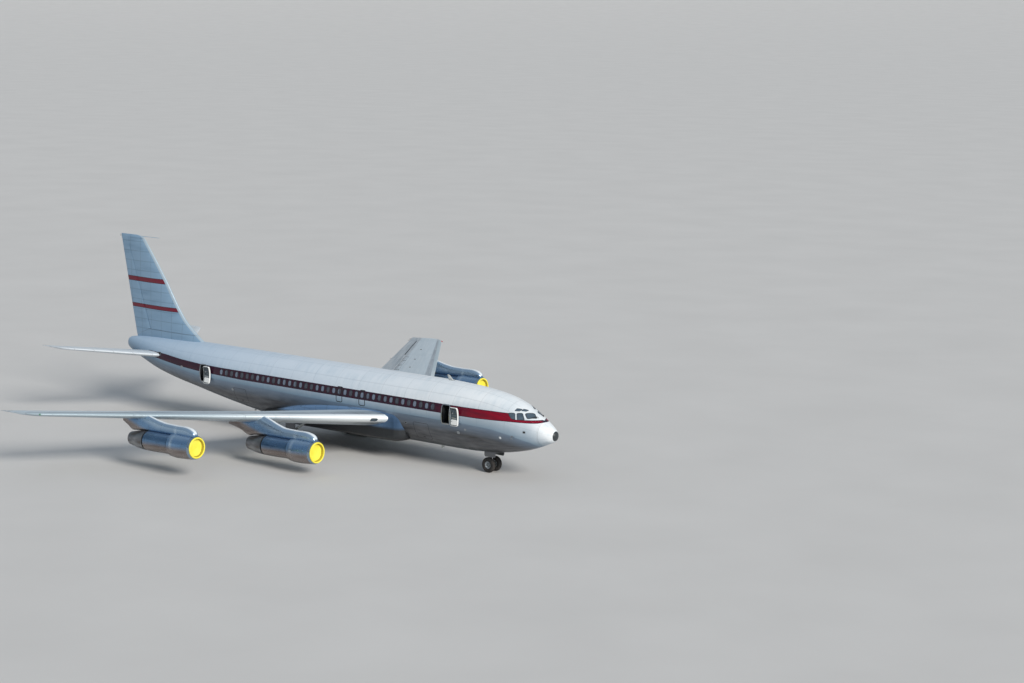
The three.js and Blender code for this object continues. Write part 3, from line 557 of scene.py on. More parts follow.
def frontPart(plane, reaches, cuts):
    # sections cut off at shares of the chord, one for each reach
    return lofted(np.stack([frontRing(plane, r, c) for r, c in zip(reaches, cuts)]))


def tipPart(plane, reaches, count):
    # the rounded tip: whole sections whose points crowd towards the leading edge
    share = np.linspace(0, 1, count) ** 1.6
    return lofted(np.stack([np.vstack([planePoint(plane, r, share[::-1], 1), planePoint(plane, r, share[1:], -1)])
        for r in reaches]))


def hingePins(ends):
    # a pin out of both ends of a panel along its hinge line
    return [rod(e["pivot"] + way * 0.06 * e["axis"], e["pivot"] - way * 0.0125 * e["axis"], 0.016, 12)
        for e, way in zip(ends, (1, -1))]


# Stage 3: materials for sheet metal

def sheetMetal(name, look):
    # painted or bare sheet: two tones in broad patches, streaks along one way, fine dark seams and rivets on a
    # grid of metres of the full-size aircraft, soft dents in the reflection. Returns the colour socket too.
    material, add, shader = newMaterial(name, {"Metallic": look["metallic"]})
    uv = add("UVMap", uv_map="skin")
    u, v = (add("SeparateXYZ", uv, output=k) for k in (0, 1))
    broad = add("TexNoise", Vector=add("Mapping", uv, Scale=(0.35, 0.9, 1)), Scale=1.0, Detail=6.0)
    streak = add("TexNoise", Vector=add("Mapping", uv, Scale=(*look["streak"], 1)), Scale=1.0, Detail=5.0)
    grime = add("Math MULTIPLY", add("MapRange", broad, 0.35, 0.7), add("MapRange", streak, 0.4, 0.75))
    panel = add("TexWhiteNoise",
        add("VectorMath FLOOR", add("VectorMath MULTIPLY_ADD", uv, (1 / look["seams"][0], 1 / look["seams"][1], 1),
        (0.5, 0.5, 0))), noise_dimensions="3D")
    colour = add("Mix", grime, look["light"], look["dark"])
    colour = add("Mix", add("MapRange", panel, 0.0, 1.0, 0.0, look["patchwork"]), colour, look["dark"])
    away = [add("Math PINGPONG", at, step / 2) for at, step in zip((u, v), look["seams"])]
    near = add("Math MINIMUM", *[add("Math SUBTRACT", step / 2, gap) for step, gap in zip(look["seams"], away)])
    seam = add("MapRange", near, look["seamWidth"] * 0.4, look["seamWidth"], 1.0, 0.0)
    dots = add("Math MAXIMUM", *[add("Math PINGPONG", at, 0.035) for at in (u, v)])
    row = add("Math ABSOLUTE", add("Math SUBTRACT", near, 0.03))
    rivet = add("Math MULTIPLY", add("Math LESS_THAN", row, 0.012), add("MapRange", dots, 0.022, 0.03))
    colour = add("Mix", add("Math MULTIPLY", seam, look["seamDepth"]), colour, "#22262b")
    colour = add("Mix", add("Math MULTIPLY", rivet, look["seamDepth"] * 0.3), colour, "#22262b")
    rough = add("MapRange", streak, 0.3, 0.75, *look["roughness"])
    dent = add("TexNoise", Vector=add("Mapping", uv, Scale=(1.6, 1.6, 1)), Scale=1.0, Detail=2.0)
    height = add("Math SUBTRACT", add("Math MULTIPLY", dent, look["dents"]),
        add("Math MULTIPLY", add("Math MAXIMUM", seam, rivet), 0.0015))
    feed(shader, {"Roughness": rough, "Normal": add("Bump", Strength=0.6, Distance=1.0, Height=height),
        "Base Color": colour})
    return material, add, shader, colour


def between(add, value, low, high):
    # 1 where a value lies between two limits
    return add("Math MULTIPLY", add("Math GREATER_THAN", value, low), add("Math LESS_THAN", value, high))


plain = {"light": "#f4f7f8", "dark": "#d5dfe4", "metallic": 0.0, "roughness": (0.28, 0.42), "streak": (3.0, 0.5),
    "seams": (2.032, 0.95), "seamWidth": 0.012, "seamDepth": 0.28, "patchwork": 0.1, "dents": 0.004}

# gloss white over worn crimson stripe and bare belly: each band has its own sheen
livery, add, shader, colour = sheetMetal("airliner livery paint", plain)
stripeLow, stripeHigh, metal, station = (add("Attribute", attribute_name=key, output=2)
    for key in ("stripeLow", "stripeHigh", "metalLine", "station"))
inStripe = add("Math MULTIPLY", add("Math GREATER_THAN", stripeLow, 0.0), add("Math GREATER_THAN", stripeHigh, 0.0))
inside = add("Math MULTIPLY", add("Math GREATER_THAN", stripeLow, 0.03), add("Math GREATER_THAN", stripeHigh, 0.03))
wear = add("TexNoise", Vector=add("Mapping", add("UVMap", uv_map="skin"), Scale=(0.8, 5.0, 1)), Scale=1.0, Detail=7.0)
fore = add("Mix", add("MapRange", wear, 0.35, 0.75), "#8a0020", "#620a22")
aft = add("Mix", add("MapRange", wear, 0.35, 0.75), "#3a0e26", "#221026")
crimson = add("Mix", add("MapRange", station, 4.2, 8.6), fore, aft)  # painted shade: the stripe is painted darker aft of the cockpit
chalky = add("MapRange", station, 4.0, 38.0, 0.05, 0.78)  # painted shade and sky reflection: the white is painted darker and bluer towards the tail, with some chalking of the paint
colour = add("Mix", chalky, colour, "#84a7c6")
# painted shade: the side below the windows is painted grey-blue towards the belly, from higher up on the nose than on
# its tip or further aft
reachUp = add("Math MINIMUM", add("MapRange", station, 0.2, 1.6, 0.7, 2.0),
    add("MapRange", station, 3.0, 9.0, 2.0, 1.05))
lowSideShade = add("MapRange", add("Math DIVIDE", metal, reachUp), 0.0, 1.0, 0.85, 0.0)
colour = add("Mix", lowSideShade, colour, "#68869c")
colour = add("Mix", inStripe, colour, "#2b2336")
colour = add("Mix", inside, colour, crimson)
bare = add("Math LESS_THAN", metal, 0.0)
# bare belly: its dark tone is partly painted shade under the body, with real stains
bellyStainsShadeAndReflection = add("Mix", add("MapRange", wear, 0.3, 0.7), "#75777b", "#595c61")
stain = add("TexNoise", Vector=add("Mapping", add("UVMap", uv_map="skin"), Scale=(0.25, 2.2, 1)),
    Scale=1.0, Detail=8.0, Roughness=0.65)
bellyStainsShadeAndReflection = add("Mix", add("MapRange", stain, 0.5, 0.72, 0.0, 0.6), bellyStainsShadeAndReflection, "#3b3733")
# painted sky reflection: blue just under the paint line
bellyStainsShadeAndReflection = add("Mix", add("MapRange", metal, -0.75, -0.05, 0.0, 0.6), bellyStainsShadeAndReflection, "#8ea5bd")
colour = add("Mix", bare, colour, bellyStainsShadeAndReflection)
colour = add("Mix", add("Math LESS_THAN", station, 0.155), colour, "#3a3f42")
nose = add("Math SUBTRACT", station, 0.95)
joint = add("Math LESS_THAN", add("Math ABSOLUTE", nose), 0.01)
colour = add("Mix", add("Math MULTIPLY", joint, 0.35), colour, "#30353a")
feed(shader, {"Base Color": colour, "Metallic": add("Math MULTIPLY", bare, 0.6)})
shader.inputs["Specular IOR Level"].default_value = 0.35

# the same belly sheet on the gear's doors: its dark tone is partly painted shade under the body
bellyMetal = sheetMetal("worn belly sheet with painted shade", dict(
    plain, light="#75777b", dark="#4b4a4b", metallic=0.6, streak=(0.5, 2.5), seams=(1.6, 0.9), seamDepth=0.3))[0]

# dark glass: nearly black, with a hard clear reflection and a faint green cast
glass, add, shader = newMaterial("laminated window glass", {"Specular IOR Level": 0.6})
haze = add("TexNoise", Vector=add("TexCoord", output=3), Scale=6.0, Detail=3.0)
feed(shader,
    {"Roughness": add("MapRange", haze, 0.3, 0.7, 0.04, 0.14), "Base Color": add("Mix", haze, "#293644", "#5b6c79")})

# stretched acrylic with the blind half down: pale grey green behind a soft sheen
acrylic, add, shader = newMaterial("cabin window acrylic", {"Roughness": 0.14, "Coat Weight": 0.4})
blind = add("TexNoise", Vector=add("Mapping", add("TexCoord", output=3), Scale=(3.9, 0.1, 0.6)), Scale=1.0, Detail=1.0)
feed(shader, {"Base Color": add("Mix", add("MapRange", blind, 0.42, 0.55), "#353c4c", "#6c788c")})

# black rubber seal: matt, soft-edged lines about glass and doors
seal, add, shader = newMaterial("neoprene seal", {"Roughness": 0.7})
dust = add("TexNoise", Vector=add("TexCoord", output=3), Scale=30.0, Detail=4.0)
feed(shader, {"Base Color": add("Mix", dust, "#15171a", "#34373a")})

# milled aluminium frame: satin, brighter than the skin about it
trim, add, shader = newMaterial("satin aluminium trim", {"Metallic": 1.0})
brush = add("TexNoise", Vector=add("Mapping", add("TexCoord", output=3), Scale=(40, 40, 4)), Scale=1.0)
feed(shader,
    {"Base Color": add("Mix", brush, "#b9bec2", "#8e9499"), "Roughness": add("MapRange", brush, 0.3, 0.7, 0.24, 0.42)})


# Stage 4: fuselage skin with its openings

serviceDoors = {  # starboard: first and last station, sill, head, and from the forward edge to the hinge
    "forward": (7.27, 7.88, 3.08, 4.29, 0.14), "aft": (29.54, 30.15, 3.12, 4.33, 0.01)}
doorways = [door[:4] for door in serviceDoors.values()]
well = {"first": 4.56, "last": 5.56, "half": 0.43, "roof": 2.35, "bodyHalf": 1.78}
bodyColumns = 192


def bodyRows():
    # stations of the rings: close at the nose, and one on each end of an opening
    fine = np.concatenate([[0.004, 0.02, 0.045, 0.08, 0.12, 0.155, 0.2], np.arange(0.26, 1.0, 0.07),
        np.arange(1.0, 8.0, 0.11), np.arange(8.0, 24.0, 0.32), np.arange(24.0, 38.5, 0.2),
        np.arange(38.5, 39.26, 0.05), [39.262]])
    hard = np.array([0.95, well["first"], well["last"], *[s for d in doorways for s in d[:2]]])
    fine = fine[np.abs(fine[:, None] - hard).min(1) > 0.03]
    return np.sort(np.append(fine, hard))


def rowAngles(station):
    # ring angles whose columns lean over so that some of them run along the sill and head of a doorway and the
    # two edges of the nose well: knots of (column, angle) are joined by straight lines
    base = np.arange(bodyColumns + 1) * 2 * np.pi / bodyColumns
    knots = {0: 0.0, bodyColumns // 4: np.pi / 2, bodyColumns // 2: np.pi, bodyColumns: 2 * np.pi}
    for first, last, sill, head in doorways:
        nearness = 1 - np.clip(max(first - station, station - last) / 1.5, 0, 1)
        if nearness > 0:
            for column, height in zip(doorColumns(first, last, sill, head), (head, sill)):
                want = heightAngle(np.clip(station, first - 1.5, last + 1.5), height, -1)
                knots[column] = base[column] + (want - base[column]) * nearness
    nearness = 1 - np.clip(max(well["first"] - station, station - well["last"]) / 1.2, 0, 1)
    if nearness > 0:
        half = bodySize(station)[0]
        off = np.pi / 2 - np.arccos(np.clip(well["half"] / half, 0, 1) ** (lowerLobe / 2))
        for column, want in zip(wellColumns, (1.5 * np.pi - off, 1.5 * np.pi + off)):
            knots[column] = base[column] + (want - base[column]) * nearness
    order = sorted(knots)
    return np.interp(np.arange(bodyColumns), order, [knots[k] for k in order])


def doorColumns(first, last, sill, head):
    # the ring columns nearest to the head and sill, halfway along the doorway
    middle = (first + last) / 2
    return [int(round(float(heightAngle(middle, z, -1)) * bodyColumns / (2 * np.pi))) for z in (head, sill)]


wellColumns = [int(round((1.5 * np.pi + sign * math.asin(well["half"] / well["bodyHalf"])) * bodyColumns / (2 * np.pi)))
    for sign in (-1, 1)]
rows = bodyRows()
angles = np.stack([rowAngles(s) for s in rows])
skin = ringPoint(rows[:, None], angles)
faces = gridFaces(len(rows), bodyColumns, True)
faceRow, faceColumn = faces[:, 0] // bodyColumns, faces[:, 0] % bodyColumns
middle = (rows[faceRow] + rows[faceRow + 1]) / 2
gone = (middle > well["first"]) & (middle < well["last"]) & (
    faceColumn >= wellColumns[0]) & (faceColumn < wellColumns[1])
for first, last, sill, head in doorways:
    top, foot = doorColumns(first, last, sill, head)
    gone |= (middle > first) & (middle < last) & (faceColumn >= top) & (faceColumn < foot)
points = np.vstack([skin.reshape(-1, 3), [[noseX, 0, 2.99], [noseX - 39.27, 0, 4.785]]])
j = np.arange(bodyColumns)
k = (j + 1) % bodyColumns
closing = np.full(bodyColumns, len(points) - 2), np.full(bodyColumns, len(points) - 1)
last = (len(rows) - 1) * bodyColumns
faces = np.vstack([faces[~gone], np.stack([closing[0], k, j, np.full(bodyColumns, -1)], -1),
    np.stack([closing[1], last + j, last + k, np.full(bodyColumns, -1)], -1)])
shell = turnedOut(points, faces, np.zeros(len(faces), int))


def bodyValues(points):
    # station and girth for seams, and how far each point lies above or below the edges of the livery's bands
    station = noseX - points[:, 0]
    half, top, bottom, waist = bodySize(station)
    angle = np.arctan2(points[:, 2] - waist, points[:, 1])
    girth = (np.pi / 2 - angle + np.pi) % (2 * np.pi) - np.pi
    return {"skin": np.stack([station, girth * 1.88 + 4.0], -1), "station": station,
        "stripeLow": points[:, 2] - np.interp(station, stripeTable[:, 0], stripeTable[:, 1]),
        "stripeHigh": np.interp(station, stripeTable[:, 0], stripeTable[:, 2]) - points[:, 2],
        "metalLine": points[:, 2] - np.interp(station, metalTable[:, 0], metalTable[:, 1])}


makePiece("fuselage_skin", [shell], [livery], replaced=("radome", "forward_fuselage", "centre_fuselage", "aft_fuselage",
    "tail_fuselage"), values=bodyValues)
print("fuselage skin ready")


# Stage 5: wing root fairing, wings, tail

def superRing(half, top, bottom, power, x, count=96, clampAt=None, crest=None):
    # a rounded rectangle section: signed powers of cosine and sine, the sides held flat at a limit. A power over 1
    # draws the upper half's sides in to a crest
    t = np.linspace(0, 2 * np.pi, count, endpoint=False)
    c, s = np.cos(t), np.sin(t)
    y = half * np.sign(c) * np.abs(c) ** np.where(s < 0, power, crest or power)
    z = (top + bottom) / 2 + (top - bottom) / 2 * np.sign(s) * np.abs(s) ** power
    y = y if clampAt is None else np.clip(y, -clampAt, clampAt)
    return np.stack(np.broadcast_arrays(x, y, z), -1)


def sectionsOf(table, at):
    # half width, top and bottom of a table at stations, each as a column
    return [columnAt(table, k, at)[:, None] for k in (1, 2, 3)]


def lengthValues(points):
    # seams of the fairing and pylons run along the station and up the side
    return {"skin": np.stack([noseX - points[:, 0], points[:, 2] + 0.6 * np.abs(points[:, 1])], -1)}


def planeValues(edges, hinge=0.0):
    def values(points):
        # distance out and share of the chord, which a swept surface's seams follow
        reach = np.abs(points[:, 1])
        frontX, frontZ, rearX, rearZ = edges(np.clip(reach, 0, 19.9 if edges is wingEdges else 6.7))
        chord = frontX - rearX
        share = (frontX - points[:, 0]) / chord
        upper = (points[:, 2] > frontZ + (rearZ - frontZ) * share).astype(float)
        return {"skin": np.stack([reach, share * 8 + 20 * upper], -1), "share": share, "reach": reach,
            "leading": frontX - points[:, 0], "nose": (share < hinge).astype(float)}
    return values


# bare alclad, pale and slightly blue, with a polished leading edge painted near white close to the root as a painted
# sky reflection, and a grey-lacquered box between the spars
bareLook = {"light": "#d6dfe5", "dark": "#a9b4bc", "metallic": 0.75, "roughness": (0.28, 0.5), "streak": (0.5, 2.5),
    "seams": (1.3, 0.62), "seamWidth": 0.014, "seamDepth": 0.4, "patchwork": 0.3, "dents": 0.004}
wingSkin, add, shader, colour = sheetMetal("wing sheet metal", bareLook)
share, leading, reach = (add("Attribute", attribute_name=key, output=2) for key in ("share", "leading", "reach"))
box = between(add, share, 0.14, 0.66)
colour = add("Mix", add("Math MULTIPLY", box, 0.8), colour, "#c4d3dc")
polished = add("Math LESS_THAN", leading, 0.3)
# painted reflection: the polished leading edge near white close to the root, greyer further out
edge = add("Mix", add("MapRange", reach, 4.0, 12.0), "#f2f8fa", "#aebec6")
colour = add("Mix", polished, colour, edge)
nose = add("Attribute", attribute_name="nose", output=2)
colour = add("Mix", nose, colour, "#3b4046")  # painted shade: the nose of an aileron, deep in its gap, painted dark grey
feed(shader,
    {"Base Color": colour, "Metallic": add("MapRange", add("Math MAXIMUM", box, polished), 0.0, 1.0, 0.8, 0.2)})

# faded blue-grey lacquer on the tail, pale bare strip along the leading edges
tailLook = dict(bareLook, light="#8baac4", dark="#7292ad", metallic=0.1,
    roughness=(0.3, 0.46), seams=(1.1, 0.7), patchwork=0.15)
tailSkin, add, shader, colour = sheetMetal("faded blue grey tail paint", tailLook)
leading = add("Attribute", attribute_name="leading", output=2)
high = add("SeparateXYZ", add("TexCoord", output=3), output=2)
upright = add("Attribute", attribute_name="upright", output=2)
for low, top in ((7.44, 7.74), (9.35, 9.70)):
    band = add("Math MULTIPLY", between(add, high, low * modelScale, top * modelScale), upright)
    heart = add("Math MULTIPLY", between(add, high, (low + 0.03) * modelScale, (top - 0.03) * modelScale), upright)
    colour = add("Mix", band, colour, "#2f2536")
    colour = add("Mix", heart, colour, "#74192f")
polished = add("Math LESS_THAN", leading, 0.2)
colour = add("Mix", polished, colour, "#b4c6d2")
feed(shader, {"Base Color": colour, "Metallic": add("MapRange", polished, 0.0, 1.0, 0.1, 0.3)})

# white lacquer gone chalky and bluish on the stabilizers
planeSkin = sheetMetal("chalky white tailplane paint",
    dict(tailLook, light="#d6dde2", dark="#b9c3ca", roughness=(0.36, 0.55)))[0]

# the root fairing's metal painted blue as a painted sky reflection, darker navy towards its nose, and near black low
# down as painted shade under the wing
fairingSkin, add, shader, colour = sheetMetal("root fairing with painted sky reflection and shade", dict(
    bareLook, light="#7293b8", dark="#557496", metallic=0.25, streak=(2.0, 0.8), seams=(1.02, 0.5), patchwork=0.25))
x, z = (add("SeparateXYZ", add("TexCoord", output=3), output=k) for k in (0, 2))
colour = add("Mix", add("MapRange", x, 3.55, 4.3, 0.0, 0.75), colour, "#27425f")
# painted shade: near black below the wing
colour = add("Mix", add("MapRange", z, 1.14, 1.04), colour, "#34373a")
feed(shader, {"Base Color": colour})

stations = np.concatenate([np.arange(11.26, 12.6, 0.08), np.arange(12.6, 22.2, 0.3), np.arange(22.2, 24.35, 0.1)])
half, top, bottom = sectionsOf(fairingTable, stations)
shape = superRing(half, top, bottom, fairing["power"], (noseX - stations)[:, None], clampAt=fairing["side"])
makePiece("wing_root_fairing", [lofted(shape)], [fairingSkin], values=lengthValues)

panels = {  # name: inner and outer end, hinge as a share of the chord, moving, square ends
    "inboard_flap": (2.15, 7.05, 0.74, False, False), "inboard_aileron": (7.75, 9.3, 0.79, True, True),
    "outboard_flap": (9.4, 14.5, 0.76, False, True), "outboard_aileron": (14.9, 18.9, 0.77, True, True)}
tailHinge, elevatorSpan = 0.69, (1.35, 6.35)  # share of the chord, inner and outer end
gap = 0.014  # round the moving panels


def surfaceRings(plane, share, near, far, spans, square):
    # whole sections between two row lines: the reach and the row's ends are mixed evenly
    lines = [panelEnds(plane, share, (near, far), flag)[k] for k, flag in enumerate(square)]
    rings = []
    for t in np.linspace(0, 1, spans):
        reach = near * (1 - t) + far * t
        mix = panelEnds(plane, share, (reach, reach + 0.01), False)[0]
        rear = (lines[0]["rear"] - lines[0]["pivot"]) * (1 - t) + (lines[1]["rear"] - lines[1]["pivot"]) * t
        mix["rear"] = mix["pivot"] + rear
        mix["aft"] = rear / np.linalg.norm(rear)
        rings.append(np.vstack([frontRing(plane, reach, share), wedge(mix)]))
    return np.stack(rings)


for label, side in sides.items():
    whole = lambda near, far, share, spans, square: lofted(surfaceRings(
        wingOf(side), share, near, far, spans, square))
    parts = [whole(1.93, 2.14, 0.74, 2, (False, False)), whole(7.06, 7.75 - gap, 0.79, 4, (False, True)),
        whole(9.3 + gap, 9.39, 0.79, 2, (True, True)), whole(14.51, 14.9 - gap, 0.77, 3, (True, True)),
        whole(18.9 + gap, 19.2, 0.77, 3, (True, False))]
    tipReach = np.array([19.2, 19.35, 19.5, 19.62, 19.72, 19.8, 19.87, 19.92, 19.938])
    parts.append(tipPart(wingOf(side), tipReach, 24))
    for name, (inner, outer, share, moving, square) in panels.items():
        reaches = np.linspace(inner, outer, 14 if outer - inner > 3 else 6)
        ends = panelEnds(wingOf(side), share, (inner, outer), square)
        chord = wingEdges(reaches)[0] - wingEdges(reaches)[2]
        half = np.interp(reaches, (inner, outer), [e["half"] for e in ends])
        clear = (half + gap) / chord if moving else 0.012 / chord
        parts.append(frontPart(wingOf(side), reaches, share - clear))
        if moving:
            makePiece(f"{label}_{name}_skin", [lofted(panelRings(ends, 10)), *hingePins(ends)], [wingSkin],
                f"{label}_{name}", (f"{label}_{name}",),
                values=planeValues(wingEdges, share - 0.15 * clear.mean()))
        else:
            makePiece(f"{label}_{name}_skin", [lofted(panelRings(ends, 12, blunt=True, gap=0.008))], [wingSkin],
                replaced=(f"{label}_{name}",), values=planeValues(wingEdges))
    makePiece(f"{label}_wing_skin", parts, [wingSkin], replaced=(f"{label}_wing",),
        values=planeValues(wingEdges))

    ends = panelEnds(tailOf(side), tailHinge, elevatorSpan, True)
    inner, outer = elevatorSpan[0] - gap, elevatorSpan[1] + gap
    reaches = np.linspace(*elevatorSpan, 12)
    chord = tailEdges(reaches)[0] - tailEdges(reaches)[2]
    half = np.interp(reaches, elevatorSpan, [e["half"] for e in ends])
    tipReach = np.array([6.42, 6.5, 6.56, 6.62, 6.67, 6.71, 6.728])
    parts = [lofted(surfaceRings(tailOf(side), tailHinge, 0.3, inner, 4, (False, True))),
        frontPart(tailOf(side), reaches, tailHinge - (half + gap) / chord),
        lofted(surfaceRings(tailOf(side), tailHinge, outer, 6.42, 2, (True, False))),
        tipPart(tailOf(side), tipReach, 20)]
    makePiece(f"{label}_stabilizer_skin", parts, [planeSkin], replaced=(f"{label}_stabilizer",),
        values=planeValues(tailEdges))
    makePiece(f"{label}_elevator_skin", [lofted(panelRings(ends, 10)), *hingePins(ends)], [planeSkin],
        f"{label}_elevator", (f"{label}_elevator",), values=planeValues(tailEdges))

finTable = np.array([
    (5000, 30600, 36700, 38450, 640), (5650, 31700, 36960, 38640, 600), (6250, 32560, 37180, 38760, 560),
    (6960, 33420, 37440, 38900, 520), (9870, 35550, 38500, 39500, 380), (12300, 37480, 39370, 40030, 240),
    (12600, 37760, 39480, 40100, 160), (12720, 38300, 39520, 40120, 40)]) / 1000


def finEnd(height):
    # hinge point, trailing edge point and half thickness at a height
    leading, hinge, trailing, thickness = (float(columnAt(finTable, k, height)) for k in (1, 2, 3, 4))
    share = (hinge - leading) / (trailing - leading)
    return [np.array([noseX - hinge, 0, height]), np.array([noseX - trailing, 0, height]),
        float(halfThickness(share) * thickness + skinEdge)]


def finRing(height, aft, columns=24):
    # a level section up to a station, its skins at half the thickness of the section there
    leading, trailing, thickness = (float(columnAt(finTable, k, height)) for k in (1, 3, 4))
    stations = leading + (aft - leading) * (1 - np.cos(np.linspace(0, np.pi / 2, columns)))
    half = halfThickness((stations - leading) / (trailing - leading)) * thickness + skinEdge * (stations > leading)
    upper = np.stack([noseX - stations, half, np.full(columns, height)], -1)
    return np.vstack([upper[::-1], upper[1:] * (1, -1, 1)])


def finWhole(line):
    # the level section to the hinge, then a wedge along a row line to the trailing edge
    front = finRing(line["pivot"][2], noseX - line["pivot"][0])
    aft = line["pivot"] + (line["rear"] - line["pivot"]) * wedgeSteps
    off = np.array([0, 1, 0]) * (line["half"] * (1 - wedgeSteps) + edgeHalf * wedgeSteps)
    return np.vstack([front, aft - off, line["rear"], (aft + off)[::-1]])


def finValues(points):
    # seams run along the station and the height; leading is the distance behind the leading edge
    leading = columnAt(finTable, 1, np.clip(points[:, 2], 5.0, 12.72))
    return {"skin": np.stack([noseX - points[:, 0], points[:, 2]], -1), "leading": noseX - points[:, 0]
        - leading, "upright": np.ones(len(points))}


rudderFoot, rudderHead = 5.98, 12.48


def finRings(first, last, edge, steps):
    # whole sections from one height to another, their rear lines mixed evenly from the fin's own to the rudder's edge
    rings = []
    for t in np.linspace(0, 1, steps):
        height = first * (1 - t) + last * t
        line = squared([finEnd(height), finEnd(height + 0.01)], False)[0]
        drop = (edge["rear"] - edge["pivot"]) * t + (line["rear"] - line["pivot"]) * (1 - t)
        rings.append(finWhole(dict(line, rear=line["pivot"] + drop)))
    return np.stack(rings)


foot, head = squared([finEnd(rudderFoot), finEnd(rudderHead)], True)
lowLine = squared([finEnd(rudderFoot - gap), finEnd(rudderHead)], True)[0]
highLine = squared([finEnd(rudderFoot), finEnd(rudderHead + gap)], True)[1]
heights = np.linspace(rudderFoot, rudderHead, 22)
half = np.interp(heights, (rudderFoot, rudderHead), (foot["half"], head["half"]))
cuts = columnAt(finTable, 2, heights) - half - gap
parts = [lofted(finRings(4.95, rudderFoot - gap, lowLine, 6)),
    lofted(np.stack([finRing(h, c) for h, c in zip(heights, cuts)])),
    lofted(finRings(12.715, rudderHead + gap, highLine, 7)[::-1]),
    turned([(0, 0), (0.1, 0.012), (0.3, 0.022), (2.6, 0.022), (2.6, 0)], (noseX - 36.0, 0, 12.64), sides=16)]
makePiece("fin_skin", parts, [tailSkin], replaced=("fin",), values=finValues)
makePiece("rudder_skin", [lofted(panelRings([foot, head], 12)), *hingePins([foot, head])], [tailSkin], "rudder",
    ("rudder",), values=finValues)
print("wings and tail ready")


# Stage 6: engines on their pylons

engines = {  # side, distance out, inlet station, inlet height, pylon
    "engine_1": (1, 14.1, 17.5, 2.07, "outboard"), "engine_2": (1, 8.32, 12.72, 1.51, "inboard"),
    "engine_3": (-1, 8.32, 12.72, 1.51, "inboard"), "engine_4": (-1, 14.1, 17.5, 2.07, "outboard")}
droop = 0.025
outboard = [(40, 150, 900, 640), (150, 240, 1030, 600), (420, 310, 1160, 600),
    (900, 330, 1230, 600), (1700, 310, 1215, 600), (2550, 280, 1225, 560), (3350, 255, 1320, 540),
    (4200, 235, 1490, 520), (4750, 210, 1560, 480), (5300, 180, 1330, 440), (5800, 130, 1250, 400),
    (6250, 80, 1200, 640), (6750, 25, 1140, 880)]
inboard = [*outboard[:6], (3300, 255, 1385, 540), (4300, 235, 1700, 520), (5000, 220, 1820, 470),
    (5500, 200, 1560, 420), (5900, 170, 1400, 330), (6800, 110, 1280, 650), (7850, 25, 1180, 850)]
pylonTables = {"outboard": np.array(outboard) / 1000, "inboard": np.array(inboard) / 1000}
cowl = np.array([(0.0, 0.690), (0.035, 0.722), (0.14, 0.752), (0.6, 0.782), (1.4, 0.800), (1.8, 0.778), (2.02, 0.745)])
core = np.array([(1.9, 0.645), (2.3, 0.655), (3.3, 0.655), (4.3, 0.640), (4.85, 0.600), (6.05, 0.395)])
engineCuts = {"coreEnd": 4.30, "nozzleStart": 4.41, "nozzleEnd": 5.92}

# polished cowling aluminium: its blue is a painted sky reflection, painted lighter on top as a painted highlight and
# warmer underneath as a painted reflection of the brown ground, with heat and oil stains
nacelleLook = dict(bareLook, light="#7a9dc2", dark="#567a9f", metallic=0.85, roughness=(0.2, 0.36), streak=(0.6, 2.2),
    seams=(1.18, 1.18), seamDepth=0.3, patchwork=0.15)
nacelleSkin, add, shader, colour = sheetMetal("polished cowling aluminium", nacelleLook)
under = add("Attribute", attribute_name="under", output=2)
heat = add("TexNoise", Vector=add("Mapping", add("UVMap", uv_map="skin"), Scale=(0.5, 3.0, 1)), Scale=1.0, Detail=6.0)
low = add("MapRange", under, -0.12, 0.16)
# painted highlight: lighter along the top
colour = add("Mix", add("MapRange", under, -0.42, -0.72, 0.0, 0.75), colour, "#b4cce0")
# painted highlight: a pale band round the cowl where its taper begins
polished = add("Math ABSOLUTE", add("Math SUBTRACT", add("SeparateXYZ", add("UVMap", uv_map="skin")), 1.62))
colour = add("Mix", add("MapRange", polished, 0.02, 0.2, 0.6, 0.0), colour, "#c3d8ea")
# painted reflection of the brown ground, partly heat tint: warmer underneath
colour = add("Mix", add("Math MULTIPLY", low, 0.85), colour, "#9b8c80")
crest = add("Attribute", attribute_name="crest", output=2)
# painted reflection: a dark navy band along the core's top
colour = add("Mix", add("Attribute", attribute_name="hot", output=2), colour, "#33506e")
colour = add("Mix", crest, colour, "#eef4f7")  # painted highlight along the pylon's top edge
stain = add("Math MULTIPLY", add("MapRange", heat, 0.45, 0.7), low)
colour = add("Mix", add("Math MULTIPLY", stain, 0.6), colour, "#5a4a40")
feed(shader, {"Base Color": colour, "Metallic": add("MapRange", crest, 0.0, 1.0, 0.85, 0.15)})

# heat-stained steel of the tail pipe: straw and blue-brown bands
hotSteel, add, shader = newMaterial("heat stained nozzle steel", {"Metallic": 1.0})
uv = add("UVMap", uv_map="skin")
stain = add("TexNoise", Vector=add("Mapping", uv, Scale=(0.9, 1.5, 1)), Scale=1.0, Detail=6.0)
tone = add("Mix", add("MapRange", stain, 0.35, 0.65), "#9a9da0", "#66666b")
feed(shader, {"Base Color": add("Mix", add("MapRange", stain, 0.55, 0.75, 0.0, 0.7), tone, "#8a7a63"),
    "Roughness": add("MapRange", stain, 0.3, 0.7, 0.26, 0.5)})

# polished steel lip of the inlet: the brightest ring on the engine, its blue tint a painted sky reflection as on the
# cowl
lipSteel, add, shader = newMaterial("polished inlet lip", {"Metallic": 1.0})
smear = add("TexNoise", Vector=add("TexCoord", output=3), Scale=9.0, Detail=4.0)
feed(shader,
    {"Roughness": add("MapRange", smear, 0.35, 0.7, 0.1, 0.3), "Base Color": add("Mix", smear, "#a9bdce", "#8ba0b3")})

